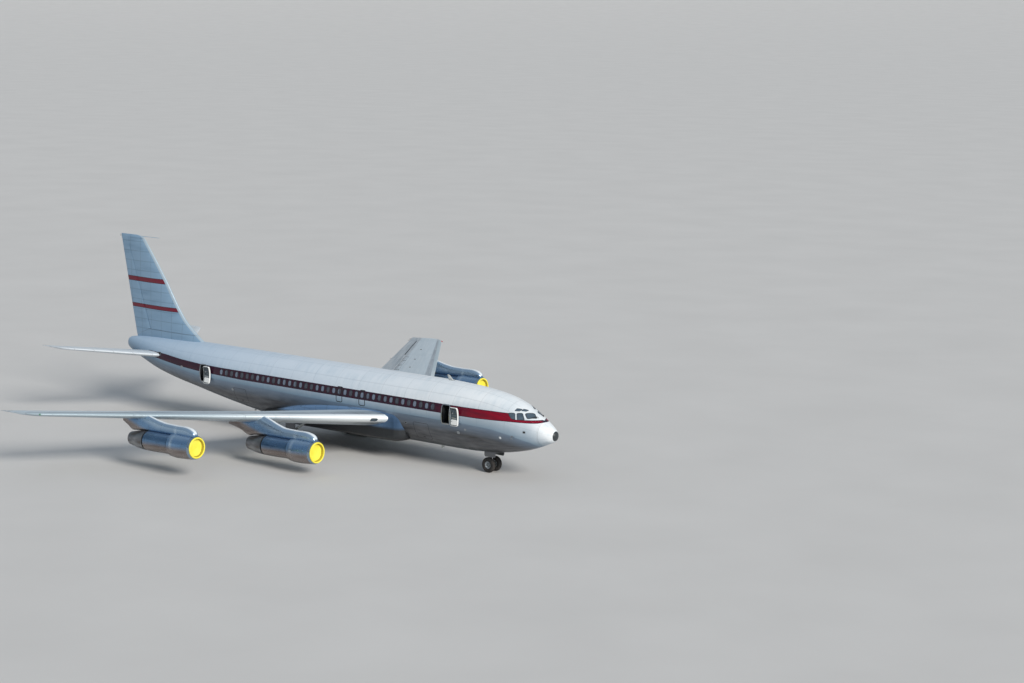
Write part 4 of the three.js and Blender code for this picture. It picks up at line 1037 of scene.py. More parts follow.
# proofed canvas, bright yellow: weave and soft sag folds
canvas, add, shader = newMaterial("yellow proofed canvas", {"Roughness": 0.75, "Sheen Weight": 0.1})
where = add("TexCoord", output=3)
fold = add("TexNoise", Vector=where, Scale=3.5, Detail=4.0)
weave = add("TexWave", Vector=where, Scale=90.0, Distortion=1.5)  # a real thread is finer than a pixel
tone = add("Mix", add("MapRange", fold, 0.3, 0.7), "#fff45c", "#f4e23e")
feed(shader, {"Base Color": add("Mix", add("Math MULTIPLY", weave, 0.12), tone, "#cdbd3a"),
    "Normal": add("Bump", Strength=0.5, Distance=0.02, Height=fold)})

# the same canvas doubled over a rope round the recess, painted darker as painted shade in the recess
hem, add, shader = newMaterial("canvas hem with painted recess shade", {"Roughness": 0.85})
fold = add("TexNoise", Vector=add("TexCoord", output=3), Scale=24.0, Detail=5.0)
feed(shader, {"Base Color": add("Mix", fold, "#c8b42c", "#8f8128")})


def smoothProfile(table, first, last, count):
    # points of a slope-limited curve through a profile
    at = np.linspace(first, last, count)
    return np.stack([at, columnAt(table, 1, at)], -1)


def aroundValues(origin, hot=0.0):
    def values(points):
        # distance aft and girth about the engine's axis, how far below it, and the band above it where the core's
        # painted reflection lies
        away = points - origin
        along = -away[:, 0]
        return {"skin": np.stack([along, 0.75 * np.arctan2(away[:, 1], away[:, 2] + droop * along) + 2.36], -1),
            "under": -(away[:, 2] + droop * along),
            "hot": hot * np.exp(-((away[:, 2] + droop * along - 0.3) / 0.28) ** 2)}
    return values


def pylonValues(origin, table):
    def values(points):
        # along and up, how low each point lies, more so in the aft foot, for the painted highlight on top and the
        # painted ground reflection low down, and a narrow line along the crest for its painted highlight
        away = points - origin
        below = columnAt(table, 2, -away[:, 0]) - away[:, 2]
        return {"skin": np.stack([-away[:, 0], away[:, 2] + 0.6 * np.abs(away[:, 1])], -1),
            "under": 0.3 - away[:, 2] + 0.28 * np.clip(-away[:, 0] - 3.4, 0, 4),
            "crest": np.clip(1.3 - below / 0.04, 0, 1)}
    return values


for name, (side, reach, station, height, kind) in engines.items():
    origin = np.array([noseX - station, side * reach, height])
    axis = np.array([-1, 0, -droop]) / math.hypot(1, droop)
    about = aroundValues(origin)
    lip = [(0.10, 0.632), (0.045, 0.640), (0.012, 0.655), (0.0, 0.678), (0.006, 0.700),
        (0.035, 0.722), (0.08, 0.740), (0.14, 0.752)]
    makePiece(f"{name}_inlet_lip", [turned([*lip, (0.16, 0.7525), (0.16, 0.62)], origin, axis, 72)], [lipSteel],
        values=about)
    outer = [*smoothProfile(cowl, 0.16, 2.0, 30), (2.015, 0.745), (2.02, 0.738)]
    inner = [(2.012, 0.73), (1.96, 0.722), (1.9, 0.71), (1.86, 0.66)]
    tone = [0] * (len(outer) - 1) + [1] * len(inner)
    makePiece(f"{name}_cowl_skin", [turned([*outer, *inner], origin, axis, 72, tone)], [nacelleSkin, seal],
        replaced=(f"{name}_fan_cowl",), values=about)
    coreEnd, start, end = engineCuts["coreEnd"], engineCuts["nozzleStart"], engineCuts["nozzleEnd"]
    # painted shade: the groove where the core meets the cowl is in black seal
    front = [(1.88, 0.6), (2.12, 0.6), (2.14, 0.65), *smoothProfile(core, 2.16, coreEnd, 30), (coreEnd + 0.012, 0.6),
        (coreEnd + 0.012, 0.53), (1.86, 0.53), (1.86, 0.6)]
    makePiece(f"{name}_core_skin", [turned(front, origin, axis, 72, [1] + [0] * (len(front) - 2))], [nacelleSkin, seal],
        replaced=(f"{name}_core",), values=aroundValues(origin, 0.6))
    gap = turned([(coreEnd - 0.02, 0.56), (start + 0.02, 0.56), (start + 0.02, 0.3),
        (coreEnd - 0.02, 0.3)], origin, axis, 72, 1)
    pipe = [(end, 0.398), (end + 0.006, 0.39), (end, 0.378), (5.9, 0.37), (5.5, 0.352),
        (5.2, 0.345), (5.2, 0.2), (start, 0.2)]
    plug = [(5.0, 0.0), (5.0, 0.2), (5.4, 0.18), (5.7, 0.1), (5.85, 0.0)]
    makePiece(f"{name}_nozzle",
        [turned([(start, 0.57), (start, 0.595), *smoothProfile(core, start + 0.01, end - 0.01, 18), *pipe], origin,
        axis, 72), gap, turned(plug, origin, axis, 40)], [hotSteel, seal], values=about)
    cover = [(0.17, 0), (0.168, 0.12), (0.162, 0.24), (0.152, 0.36), (0.138, 0.47), (0.115, 0.525), (0.06, 0.552),
        (-0.045, 0.572), (-0.072, 0.584), (-0.08, 0.603), (-0.08, 0.632), (-0.07, 0.655), (-0.05, 0.672),
        (-0.012, 0.676), (-0.006, 0.66), (-0.002, 0.634), (0.05, 0.628), (0.24, 0.618), (0.24, 0)]
    # painted shade: the recess wall takes the darker hem canvas
    canvasDish = turned(cover, origin, axis, 64, [0, 0, 0, 0, 2, 2, 0, 0, 0, 0, 0, 0, 0, 0, 0, 0])
    away = canvasDish[0] - origin
    turn, out = np.arctan2(away[:, 1], away[:, 2]), np.hypot(away[:, 1], away[:, 2])
    sag = 0.012 * np.sin(5 * turn + reach) * np.clip(out / 0.47, 0, 1) ** 2 * (out < 0.53) * (away[:, 0] > -0.19)
    canvasDish[0][:, 0] += sag
    makePiece(f"{name}_cover_canvas", [canvasDish], [canvas, seal, hem],
        replaced=(f"{name}_inlet_cover",))
    table = pylonTables[kind]
    stations = np.concatenate([table[0, 0] + np.linspace(0, 0.4, 9)[:-1], np.linspace(0.44, table[-1, 0], 48)])
    half, top, bottom = sectionsOf(table, stations)
    shape = superRing(half, top, bottom, 0.7, -stations[:, None], 56, crest=1.25)
    makePiece(f"{name}_pylon_skin", [lofted(shape + origin)], [nacelleSkin], replaced=(f"{name}_pylon",),
        values=pylonValues(origin, table))
print("engines ready")


# Stage 7: windows, doors and openings of the body

# faded grey vinyl lining, with scuffs
lining, add, shader = newMaterial("scuffed grey vinyl lining", {})
where = add("TexCoord", output=3)
scuff = add("TexNoise", Vector=add("Mapping", where, Scale=(3, 3, 12)), Scale=1.0, Detail=7.0)
feed(shader, {"Base Color": add("Mix", add("MapRange", scuff, 0.35, 0.7), "#5b686e", "#333d42"),
    "Roughness": add("MapRange", scuff, 0.3, 0.7, 0.45, 0.75)})

# the dark cabin behind a doorway, with only a hint of carpet and wall
cabin, add, shader = newMaterial("unlit cabin furnishing", {"Roughness": 0.9})
pile = add("TexNoise", Vector=add("TexCoord", output=3), Scale=60.0, Detail=2.0)
feed(shader, {"Base Color": add("Mix", pile, "#14181b", "#262b2f")})

# grey-green corrosion primer of the wells and of the backs of doors
primer, add, shader = newMaterial("grey green primer", {})
where = add("TexCoord", output=3)
oil = add("TexNoise", Vector=add("Mapping", where, Scale=(3, 3, 6)), Scale=1.0, Detail=8.0)
feed(shader, {"Base Color": add("Mix", add("MapRange", oil, 0.45, 0.72), "#717a70", "#343833"),
    "Roughness": add("MapRange", oil, 0.4, 0.7, 0.6, 0.35)})

# satin white enamel of door shells and slide covers, with scattered chips
enamel, add, shader = newMaterial("satin white enamel", {"Coat Weight": 0.2})
where = add("TexCoord", output=3)
chip = add("TexNoise", Vector=where, Scale=14.0, Detail=8.0, Roughness=0.7)
feed(shader, {"Base Color": add("Mix", add("MapRange", chip, 0.6, 0.68), "#f2f4f2", "#a9adaa"),
    "Roughness": add("MapRange", chip, 0.3, 0.7, 0.3, 0.5)})

windows = {"aft": 27.96, "pitch": 0.508, "count": 39, "height": 4.05, "width": 0.235, "tall": 0.335}
cockpit = {  # corners (station, degrees from port over the crown): aft top, fore top, fore low, aft low
    "quarter": [(2.993, 143), (2.577, 135.5), (2.404, 152.5), (2.679, 154)],
    "side": [(2.490, 133.5), (2.184, 124.5), (1.870, 141.5), (2.286, 151)],
    "front": [(2.066, 122), (1.697, 97.5), (1.335, 111), (1.760, 134.5)],
    "brow_aft": [(2.66, 120), (2.37, 113), (2.40, 124.5), (2.68, 131)],
    "brow_front": [(2.33, 109.5), (2.06, 102), (2.10, 113.5), (2.36, 121)]}
exits = {"stations": (16.784, 14.752), "height": 3.86, "size": (0.52, 1.0)}
entryDoors = {"forward": (4.70, 5.56, 3.08, 4.90), "aft": (30.15, 31.01, 3.20, 4.90)}


def looped(rings, paint=0):
    # closed rings skinned in order, and the last one back to the first, as a hoop
    rows, columns = rings.shape[:2]
    faces = gridFaces(rows + 1, columns, True) % (rows * columns)
    return turnedOut(rings.reshape(-1, 3), faces, np.repeat(np.broadcast_to(paint, (rows,)), columns))


def band(place, size, radius, inner, outer, low, high, paint=0, count=48):
    # a flat hoop round a rounded rectangle: four rings at two distances and two lifts
    outline, normal = roundedOutline(*size, radius, count)
    loops = [(outline + normal * grow, lift)
        for grow, lift in ((inner, low), (outer, low), (outer, high), (inner, high))]
    return looped(np.stack([place(loop[:, 0], loop[:, 1], lift) for loop, lift in loops]), paint)


# cabin windows: a dark seal standing a little proud, and the pane a little below it
panes = []
for side in (1, -1):
    for k in range(windows["count"]):
        at = onSide(windows["aft"] - k * windows["pitch"], windows["height"], side)
        panes.append(inlaid(at, (windows["width"], windows["tall"]), 0.1,
            [(0.05, -0.02, 1), (0.05, 0.003, 1), (0.03, 0.006, 1), (0.012, 0.007, 1),
            (0.0, 0.003, 1), (-0.012, 0.002, 0)], 24))
makePiece("cabin_windows", panes, [acrylic, seal])

# cockpit windows: panes between white posts, the seal standing a little proud
panes = []
for label, corners in cockpit.items():
    for side in (1, -1):
        panes.append(inlaid(onCorners(corners, side), (0.96, 0.96), 0.16,
            [(0.045, -0.02, 1), (0.045, 0.006, 1), (0.012, 0.01, 1), (-0.03, 0.005, 1), (-0.04, 0.004, 0)], 48, 6))
makePiece("cockpit_windows", panes, [glass, seal])

# wipers: a stalk and a blade at the foot of both windshields
wipers = []
for side in (1, -1):
    for start, end, radius in (((1.30, 104), (1.52, 118), 0.014), ((1.40, 103), (1.62, 124), 0.01)):
        t = np.linspace(0, 1, 14)
        station, angle = start[0] + (end[0] - start[0]) * t, start[1] + (end[1] - start[1]) * t
        wipers.append(tube(ringPoint(station, np.radians(angle if side < 0 else 180 - angle), 0.03), radius, 8))
makePiece("windshield_wipers", wipers, [seal])

# overwing exits, cargo doors and hatches: a fine dark gap round a flush plate, with a latch
outlines = []
for side in (1, -1):
    for station in exits["stations"]:
        at = onSide(station, exits["height"], side)
        outlines.append(band(at, exits["size"], 0.11, -0.03, 0.022, -0.01, 0.003, 0))
        outlines.append(inlaid(onSide(station, exits["height"] + 0.44, side), (0.16, 0.035), 0.015,
            [(0.0, -0.01, 0), (0.0, 0.006, 0)], 16))
for first, last, low, high in ((9.1, 10.35, 1.75, 2.85), (25.6, 26.8, 2.1, 3.1)):
    middle = (first + last) / 2
    at = onSide(middle, (low + high) / 2, -1)
    outlines.append(band(at, (last - first, high - low), 0.09, -0.01, 0.01, -0.01, 0.003, 0, 64))
    outlines.append(inlaid(onSide(middle, low + 0.12, -1), (0.2, 0.05), 0.02, [(0.0, -0.01, 0), (0.0, 0.005, 0)], 16))
for station, y, size in ((4.2, 0.9, 0.35), (6.1, -0.8, 0.4), (8.0, 0.55, 0.3), (25.2, -0.5, 0.45)):
    half, top, bottom, waist = bodySize(station)
    corners = cornersAbout(station, 270 + math.degrees(math.asin(y / half)), size / 2, math.degrees(size / 2 / half))
    outlines.append(band(onCorners(corners, -1), (1, 1), 0.15, -0.03, 0.03, -0.01, 0.003, 0, 40))
makePiece("hatch_outlines", outlines, [seal, trim])


def turnedDoor(first, swing):
    # where a point of the shut door goes when the door has swung half a turn about its forward edge
    hinge = noseX - first + swing
    beside = float(columnAt(bodyTable, 1, first)) + 0.05
    return lambda p: np.stack([2 * hinge - p[..., 0], -2 * beside - p[..., 1], p[..., 2]], -1), hinge, beside


for label, (first, last, sill, head, swing) in serviceDoors.items():
    middle, height = (first + last) / 2, (sill + head) / 2
    size = (last - first, head - sill)
    at = onSide(middle, height, -1)
    # the doorway: a bright frame about the hole, a lined reveal, and the dark vestibule behind it
    cup = [(-0.012, 0.004, 1), (-0.012, -0.14, 1), (0.0, -0.15, 0), (0.0, -0.86, 2), (0.03, -0.87, 2), (0.03, -0.01, 2)]
    outline, normal = roundedOutline(*size, 0.1, 64)
    rings = np.stack([at((outline + normal * grow)[:, 0], (outline + normal * grow)[:, 1], lift)
        for grow, lift, paint in cup])
    shell = looped(rings, [1, 0, 2, 2, 2, 1])
    back = inlaid(at, size, 0.1, [(0.02, -0.9, 2), (0.02, -0.855, 2)], 48)
    frameBand = band(at, size, 0.1, -0.012, 0.055, -0.02, 0.007, 1, 64)
    sillPlate = inlaid(onSide(middle, sill + 0.02, -1), (size[0] - 0.08, 0.05), 0.02, [(0, -0.05, 1), (0, 0.02, 1)], 24)
    shelf = [block((noseX - last + 0.03, -1.32, z), (noseX - first - 0.03, -1.0, z + 0.03), 0.008, 3)
        for z in (sill + 0.45, sill + 0.8)]
    makePiece(f"service_doorway_{label}", [shell, back, frameBand, sillPlate, *shelf], [lining, trim, cabin, lining])

    # the open door: an enamelled shell whose lined inside now faces out, with its slide cover, handle and stops
    swingRound, hinge, beside = turnedDoor(first, swing)
    place = lambda u, v, lift: swingRound(at(u, v, lift))
    w, h = size[0] - 0.003, size[1] - 0.003
    leaf = inlaid(place, (w, h), 0.1, [(-0.012, 0.0, 0), (-0.004, -0.004, 0), (0.0, -0.015, 0), (0.0, -0.10, 0),
        (-0.004, -0.113, 0), (-0.012, -0.118, 0), (-0.03, -0.119, 0), (-0.038, -0.10, 1), (-0.07, -0.092, 1)], 64, 6)
    near = lambda v: lambda a, b, c: swingRound(sidePoint(middle + a, height + v + b, c, -1))
    cover = inlaid(near(-0.36), (w - 0.14, 0.34), 0.06,
        [(0.0, -0.09, 2), (0.0, -0.105, 2), (-0.02, -0.119, 2), (-0.05, -0.1195, 2)], 40)
    flap = inlaid(near(-0.1), (w - 0.2, 0.1), 0.02, [(0.0, -0.09, 3), (0.0, -0.108, 3), (-0.01, -0.112, 3)], 24)
    plate = inlaid(near(0.22), (w - 0.24, 0.44), 0.05, [(0.0, -0.088, 1), (0.0, -0.104, 1), (-0.015, -0.11, 1)], 32)
    boss = near(0.2)
    spots = np.array([(-0.1, 0.02, -0.106), (-0.1, 0.02, -0.117), (-0.02, 0.03, -0.118),
        (0.08, 0.05, -0.118), (0.12, 0.06, -0.117)])
    handle = tube(boss(*spots.T), 0.011, 8, 3)
    pivotDisc = turned([(0, 0), (0, 0.045), (0.008, 0.05), (0.012, 0.04), (0.012, 0)],
        boss(-0.1, 0.02, -0.107), (0, -1, 0), 24, 3)
    window = inlaid(near(0.36), (0.17, 0.2), 0.07,
        [(0.02, -0.10, 4), (0.02, -0.113, 4), (0.0, -0.116, 4), (-0.01, -0.112, 5)], 28)
    stops = [inlaid(near(v), (w - 0.012, 0.05), 0.012, [(0.0, -0.03, 3), (0.0, -0.07, 3)], 16)
        for v in (-0.45, -0.15, 0.15, 0.45)]
    arms = []
    for z in (sill + 0.3, head - 0.3):
        pinX, pinY = hinge + swing + 0.045, -beside - 0.07
        arms += [block((hinge + swing + 0.01, -beside - 0.11, z - 0.03), (hinge + swing + 0.08, -1.6, z + 0.03),
            0.012, 3), rod((pinX, pinY, z - 0.06), (pinX, pinY, z + 0.06), 0.022, 16, 0.004, 3),
            block((hinge + 0.005, -beside - 0.105, z - 0.022),
            (hinge + swing + 0.03, -beside - 0.06, z + 0.022), 0.01, 3)]
    makePiece(f"service_door_{label}_leaf", [leaf, cover, flap, plate, handle, pivotDisc, window, *stops, *arms],
        [enamel, lining, enamel, trim, seal, glass], replaced=(f"service_door_{label}",))

for label, (first, last, sill, head) in entryDoors.items():
    middle, size = (first + last) / 2, (last - first, head - sill)
    at = onSide(middle, (sill + head) / 2, 1)
    lines = [band(at, size, 0.13, -0.014, 0.008, -0.02, 0.003, 0, 72)]
    lines.append(band(onSide(middle, 4.25, 1), (0.2, 0.26), 0.09, -0.02, 0.02, -0.02, 0.005, 0, 32))
    pane = inlaid(onSide(middle, 4.25, 1), (0.17, 0.23), 0.08, [(0.02, -0.02, 2), (0.0, 0.0035, 2)], 24)
    grip = inlaid(onSide(last - 0.2, 4.0, 1), (0.24, 0.06), 0.025,
        [(0.008, -0.02, 1), (0.008, 0.003, 1), (0.0, 0.008, 1), (-0.006, 0.009, 1)], 24)
    hinges = [inlaid(onSide(first - 0.05, z, 1), (0.1, 0.12), 0.03,
        [(0.0, -0.02, 1), (0.0, 0.004, 1), (-0.01, 0.009, 1)], 20) for z in (sill + 0.35, head - 0.35)]
    makePiece(f"entry_door_{label}_fittings", [*lines, pane, grip, *hinges], [seal, trim, glass],
        replaced=(f"entry_door_{label}",))

# nose wheel well: primed walls that follow the belly at their feet, frames, and lines along the walls
outline, normal = roundedOutline(well["last"] - well["first"] - 0.01, 2 * well["half"] - 0.01, 0.02, 96)
middle = noseX - (well["first"] + well["last"]) / 2
wallAt = [np.stack([middle + (outline + normal * grow)[:, 0], (outline + normal * grow)[:, 1]],
    -1) for grow in (0.0, 0.02)]


def bellyHeight(x, y):
    # the skin's height under the body: what the lower lobe leaves at a distance from the middle
    half, top, bottom, waist = bodySize(noseX - x)
    return waist - (waist - bottom) * (1 - np.clip(np.abs(y) / half, 0, 1) ** lowerLobe) ** (1 / lowerLobe)


feet = [bellyHeight(p[:, 0], p[:, 1]) + 0.004 for p in wallAt]
roof = np.full(len(outline), well["roof"])
wall = looped(
    np.stack([np.column_stack([wallAt[0], feet[0]]), np.column_stack([wallAt[0], roof]),
    np.column_stack([wallAt[1], roof + 0.03]), np.column_stack([wallAt[1], feet[1]])]))
ceiling = block((noseX - well["last"], -well["half"], well["roof"] - 0.001),
    (noseX - well["first"], well["half"], well["roof"] + 0.03), 0.01)
ribs = []
for station in np.arange(4.72, 5.5, 0.24):
    x = noseX - station
    ribs += [block((x - 0.02, s * 0.385, 1.62), (x + 0.02, s * 0.425, 2.33), 0.008) for s in (1, -1)]
for z in (1.95, 2.2):
    ribs += [block((noseX - 5.5, s * 0.395, z - 0.02), (noseX - 4.6, s * 0.425, z + 0.02), 0.008) for s in (1, -1)]
lines = []
for s, z, radius in ((1, 1.8, 0.014), (1, 1.75, 0.01), (-1, 2.08, 0.014), (-1, 1.86, 0.01)):
    x = np.linspace(noseX - 5.5, noseX - 4.62, 24)
    path = np.stack([x, s * (0.37 + 0 * x), z + 0.03 * np.sin(x * 4)], -1)
    lines.append(tube(path, radius, 8, 1))
makePiece("nose_well_lining", [wall, ceiling, *ribs, *lines], [primer, trim])
print("windows, doors and nose well ready")


# Stage 8: landing gear

# tyre rubber: nearly black, dusted brown in patches
rubber, add, shader = newMaterial("dusty tyre rubber", {"Roughness": 0.85})
where = add("TexCoord", output=3)
dirt = add("TexNoise", Vector=where, Scale=7.0, Detail=8.0, Roughness=0.65)
feed(shader, {"Base Color": add("Mix", add("MapRange", dirt, 0.4, 0.72), "#1c1d1f", "#4a4541"),
    "Normal": add("Bump", Strength=0.3, Distance=0.004, Height=dirt)})

# pale grey enamel over forged steel, with oil runs
gearEnamel, add, shader = newMaterial("oil-stained grey enamel", {"Coat Weight": 0.15})
where = add("TexCoord", output=3)
runs = add("TexNoise", Vector=add("Mapping", where, Scale=(14, 14, 2.5)), Scale=1.0, Detail=8.0, Roughness=0.6)
tone = add("Mix", add("MapRange", runs, 0.45, 0.7), "#b9bec0", "#5f5b55")
feed(shader, {"Base Color": tone, "Roughness": add("MapRange", runs, 0.35, 0.7, 0.34, 0.6)})

# hard chrome of sliding tubes: a mirror with a thin film of oil
chrome, add, shader = newMaterial("hard chrome", {"Metallic": 1.0, "Base Color": "#d9dcdd"})
film = add("TexNoise", Vector=add("TexCoord", output=3), Scale=20.0, Detail=3.0)
feed(shader, {"Roughness": add("MapRange", film, 0.35, 0.7, 0.06, 0.2)})

# cast magnesium wheel, pale grey enamel with darker specks
wheelCast, add, shader = newMaterial("enamelled magnesium casting", {"Metallic": 0.35})
grit = add("TexNoise", Vector=add("TexCoord", output=3), Scale=26.0, Detail=7.0)
feed(shader, {"Base Color": add("Mix", add("MapRange", grit, 0.42, 0.68), "#aab3b9", "#5d6266"),
    "Roughness": add("MapRange", grit, 0.3, 0.7, 0.4, 0.62)})

# clear lamp glass over a bright reflector
lampGlass, add, shader = newMaterial("lamp glass", {"Roughness": 0.08, "Coat Weight": 0.8})
flutes = add("TexWave", Vector=add("TexCoord", output=3), Scale=40.0, Distortion=0.4)
feed(shader, {"Base Color": add("Mix", flutes, "#f4f8fa", "#c3ccd2")})

noseWheel = {"radius": 0.495, "width": 0.30, "hub": 0.21, "track": 0.33, "holes": 8}
mainWheel = {"radius": 0.585, "width": 0.37, "hub": 0.255, "track": 0.44, "holes": 10}
noseStation, mainStation, mainReach, bogieHalf = 5.22, 19.65, 3.365, 0.71


def wheel(size, middle):
    # tyre: r = mid + (R - mid)(1 - |y/w|^n)^(1/n), less three grooves; the casting is a dished profile inside it
    w, outer, hub = size["width"] / 2, size["radius"], size["hub"]
    mid = hub + 0.4 * (outer - hub)
    y = -w * np.cos(np.linspace(0, np.pi, 73))
    r = mid + (outer - mid) * (1 - np.clip(np.abs(y / w), 0, 1) ** 2.8) ** (1 / 2.8)
    r = r - 0.011 * np.exp(-((np.abs(np.abs(y) - 0.3 * w) / 0.008) ** 4)) - 0.009 * np.exp(-((np.abs(y) / 0.007) ** 4))
    t = np.linspace(0, 1, 6)[1:]
    low = np.stack([w - 0.32 * w * t**2, mid + (hub + 0.012 - mid) * t], -1)
    profile = np.vstack([np.stack([y, r], -1), low, np.stack([-low[::-1, 0], low[::-1, 1]], -1)])
    parts = [turned(profile, middle, (0, 1, 0), 64, 0)]
    half = [(0.52 * w, 0.0), (0.52 * w, 0.055), (0.46 * w, 0.07), (0.30 * w, 0.085), (0.26 * w, 0.12),
        (0.26 * w, 0.68 * hub), (0.34 * w, 0.78 * hub), (0.58 * w, 0.88 * hub), (0.72 * w, 0.94 * hub), (0.76 * w, hub),
        (0.72 * w, hub + 0.02), (0.6 * w, hub + 0.02)]
    casting = [*[(-a, b) for a, b in half], *half[::-1]]
    parts.append(turned(casting, middle, (0, 1, 0), 48, 1))
    # lightening holes drawn as shallow dark discs of seal: painted shade standing for the holes; bolt heads in trim
    # between them
    for face in (1, -1):
        for k in range(size["holes"]):
            a = 2 * math.pi * k / size["holes"]
            spot = middle + np.array([0.49 * hub * math.cos(a), face * 0.25 * w, 0.49 * hub * math.sin(a)])
            parts.append(turned([(0, 0), (0, 0.13 * hub), (0.012, 0.13 * hub), (0.013, 0.10 * hub), (0.009, 0)],
                spot, (0, face, 0), 14, 2))
            b = a + math.pi / size["holes"]
            spot = middle + np.array([0.62 * hub * math.cos(b), face * 0.25 * w, 0.62 * hub * math.sin(b)])
            parts.append(turned([(0, 0), (0, 0.016), (0.02, 0.016), (0.026, 0.009), (0.026, 0)],
                spot, (0, face, 0), 6, 3))
    return parts


def wheelPair(name, size, x, y):
    # two wheels and their hub tube, standing on the ground
    z = size["radius"]
    parts = [part for offset in (-size["track"], size["track"]) for part in wheel(size, np.array([x, y + offset, z]))]
    reach = size["track"] + 0.26 * size["width"]
    parts.append(turned([(0, 0), (0, 0.03), (0.01, 0.04), (2 * reach - 0.01, 0.04), (2 * reach, 0.03), (2 * reach, 0)],
        (x, y - reach, z), (0, 1, 0), 24, 3))
    makePiece(f"{name}_tyres", parts, [rubber, wheelCast, seal, trim], body=name,
        replaced=(name,))


def links(top, foot, elbow, width, paint=0):
    # a pair of torque links: two forked arms that meet in a pin at an elbow
    parts = []
    for end in (top, foot):
        for s in (1, -1):
            a = np.array(end) + (0, s * width, 0)
            b = np.array(elbow) + (0, s * width * 0.35, 0)
            parts.append(tube(np.linspace(a, b, 4), [0.026, 0.03, 0.026, 0.022], 10, paint))
    parts.append(rod(np.array(elbow) + (0, -width * 0.6, 0),
        np.array(elbow) + (0, width * 0.6, 0), 0.024, 14, 0.004, paint))
    for end in (top, foot):
        parts.append(rod(np.array(end) + (0, -width * 1.3, 0),
            np.array(end) + (0, width * 1.3, 0), 0.026, 14, 0.004, paint))
    return parts


def strut(start, end, radius, knuckle, paint=0):
    # a stay with a thicker eye at each end and a collar halfway
    start, end = np.asarray(start, float), np.asarray(end, float)
    length = np.linalg.norm(end - start)
    along = np.array([0, 0.06, 0.09, 0.14, length * 0.46, length * 0.48, length * 0.54, length * 0.56, length - 0.14,
        length - 0.09, length - 0.06, length])
    thick = np.array([0.8, 1.0, 1.0, 0.0, 0.0, 0.55, 0.55, 0.0, 0.0, 1.0, 1.0, 0.8]) * (knuckle - radius) + radius
    return turned([(0, 0), *zip(along, thick), (length, 0)], start, end - start, 18, paint)


# nose gear: cylinder with collars and steering rams, stay, lamps and lines; the fork with its links turns below it
x = noseX - noseStation
cylinder = [(0, 0), (0, 0.075), (0.01, 0.088), (0.06, 0.095), (0.1, 0.105), (0.16, 0.105), (0.17, 0.092), (0.5, 0.09),
    (0.51, 0.104), (0.58, 0.104), (0.59, 0.092), (1.2, 0.092), (1.25, 0.092), (1.25, 0)]
leg = [turned(cylinder, (x, 0, 1.085), (0, 0, 1), 40)]
leg.append(strut((x + 0.04, 0, 1.38), (noseX - well["first"] - 0.02, 0, 2.02), 0.032, 0.045))
for s in (1, -1):
    leg.append(strut((x + 0.02, s * 0.06, 1.62), (noseX - well["first"] - 0.03, s * 0.30, 2.26), 0.022, 0.034))
    leg.append(rod((x - 0.17, s * 0.13, 1.22), (x + 0.15, s * 0.13, 1.22), 0.032, 20, 0.006))
    leg.append(rod((x + 0.15, s * 0.13, 1.22), (x + 0.21, s * 0.10, 1.19), 0.014, 12, 0.003, 1))
    lamp = np.array([x + 0.17, s * 0.17, 1.42])
    leg.append(turned([(0, 0), (0, 0.04), (0.03, 0.07), (0.07, 0.075), (0.074, 0.07), (0.06, 0.068),
        (0.06, 0)], lamp, (1, 0, 0), 28, 0))
    leg.append(turned([(0.05, 0), (0.05, 0.066), (0.064, 0.06), (0.07, 0.03), (0.072, 0)], lamp, (1, 0, 0), 28, 2))
    leg.append(rod((x + 0.06, s * 0.06, 1.42), lamp + (0.01, 0, 0), 0.018, 12, 0.003))
    t = np.linspace(0, 1, 20)
    hose = np.stack([x - 0.1 + 0.03 * np.sin(7 * t), s * (0.05 + 0.03 * np.sin(3 * t)), 1.16 + 1.1 * t], -1)
    leg.append(tube(hose, 0.011, 8, 3))
makePiece("nose_gear_strut", leg, [gearEnamel, chrome, lampGlass, seal],
    replaced=("nose_gear_leg",))

axle = noseWheel["radius"]
fork = [turned([(0, 0), (0, 0.1), (0.012, 0.112), (0.075, 0.112), (0.09, 0.1), (0.1, 0.066), (0.55, 0.066), (0.56, 0)],
    (x, 0, 1.075), (0, 0, -1), 36, [0, 0, 0, 0, 1])]
reach = noseWheel["track"] - noseWheel["width"] / 2 - 0.02
fork.append(turned([(0, 0), (0, 0.06), (0.012, 0.078), (0.05, 0.085), (reach - 0.04, 0.088), (reach + 0.04, 0.088),
    (2 * reach - 0.05, 0.085), (2 * reach - 0.012, 0.078), (2 * reach, 0.06), (2 * reach, 0)], (x, -reach, axle),
    (0, 1, 0), 30))
fork += links((x - 0.1, 0, 1.0), (x - 0.085, 0, 0.6), (x - 0.27, 0, 0.8), 0.06)
fork.append(block((x + 0.03, -0.045, 0.62), (x + 0.13, 0.045, 0.70), 0.012))
fork += [block((x + 0.1, s * 0.022, 0.625), (x + 0.165, s * 0.044, 0.695), 0.008) for s in (1, -1)]
fork.append(rod((x + 0.14, -0.055, 0.66), (x + 0.14, 0.055, 0.66), 0.014, 12, 0.003, 1))
makePiece("nose_fork_and_links", fork, [gearEnamel, chrome], body="nose_gear_fork",
    replaced=("nose_gear_fork",))
wheelPair("nose_wheels", noseWheel, x, 0.0)

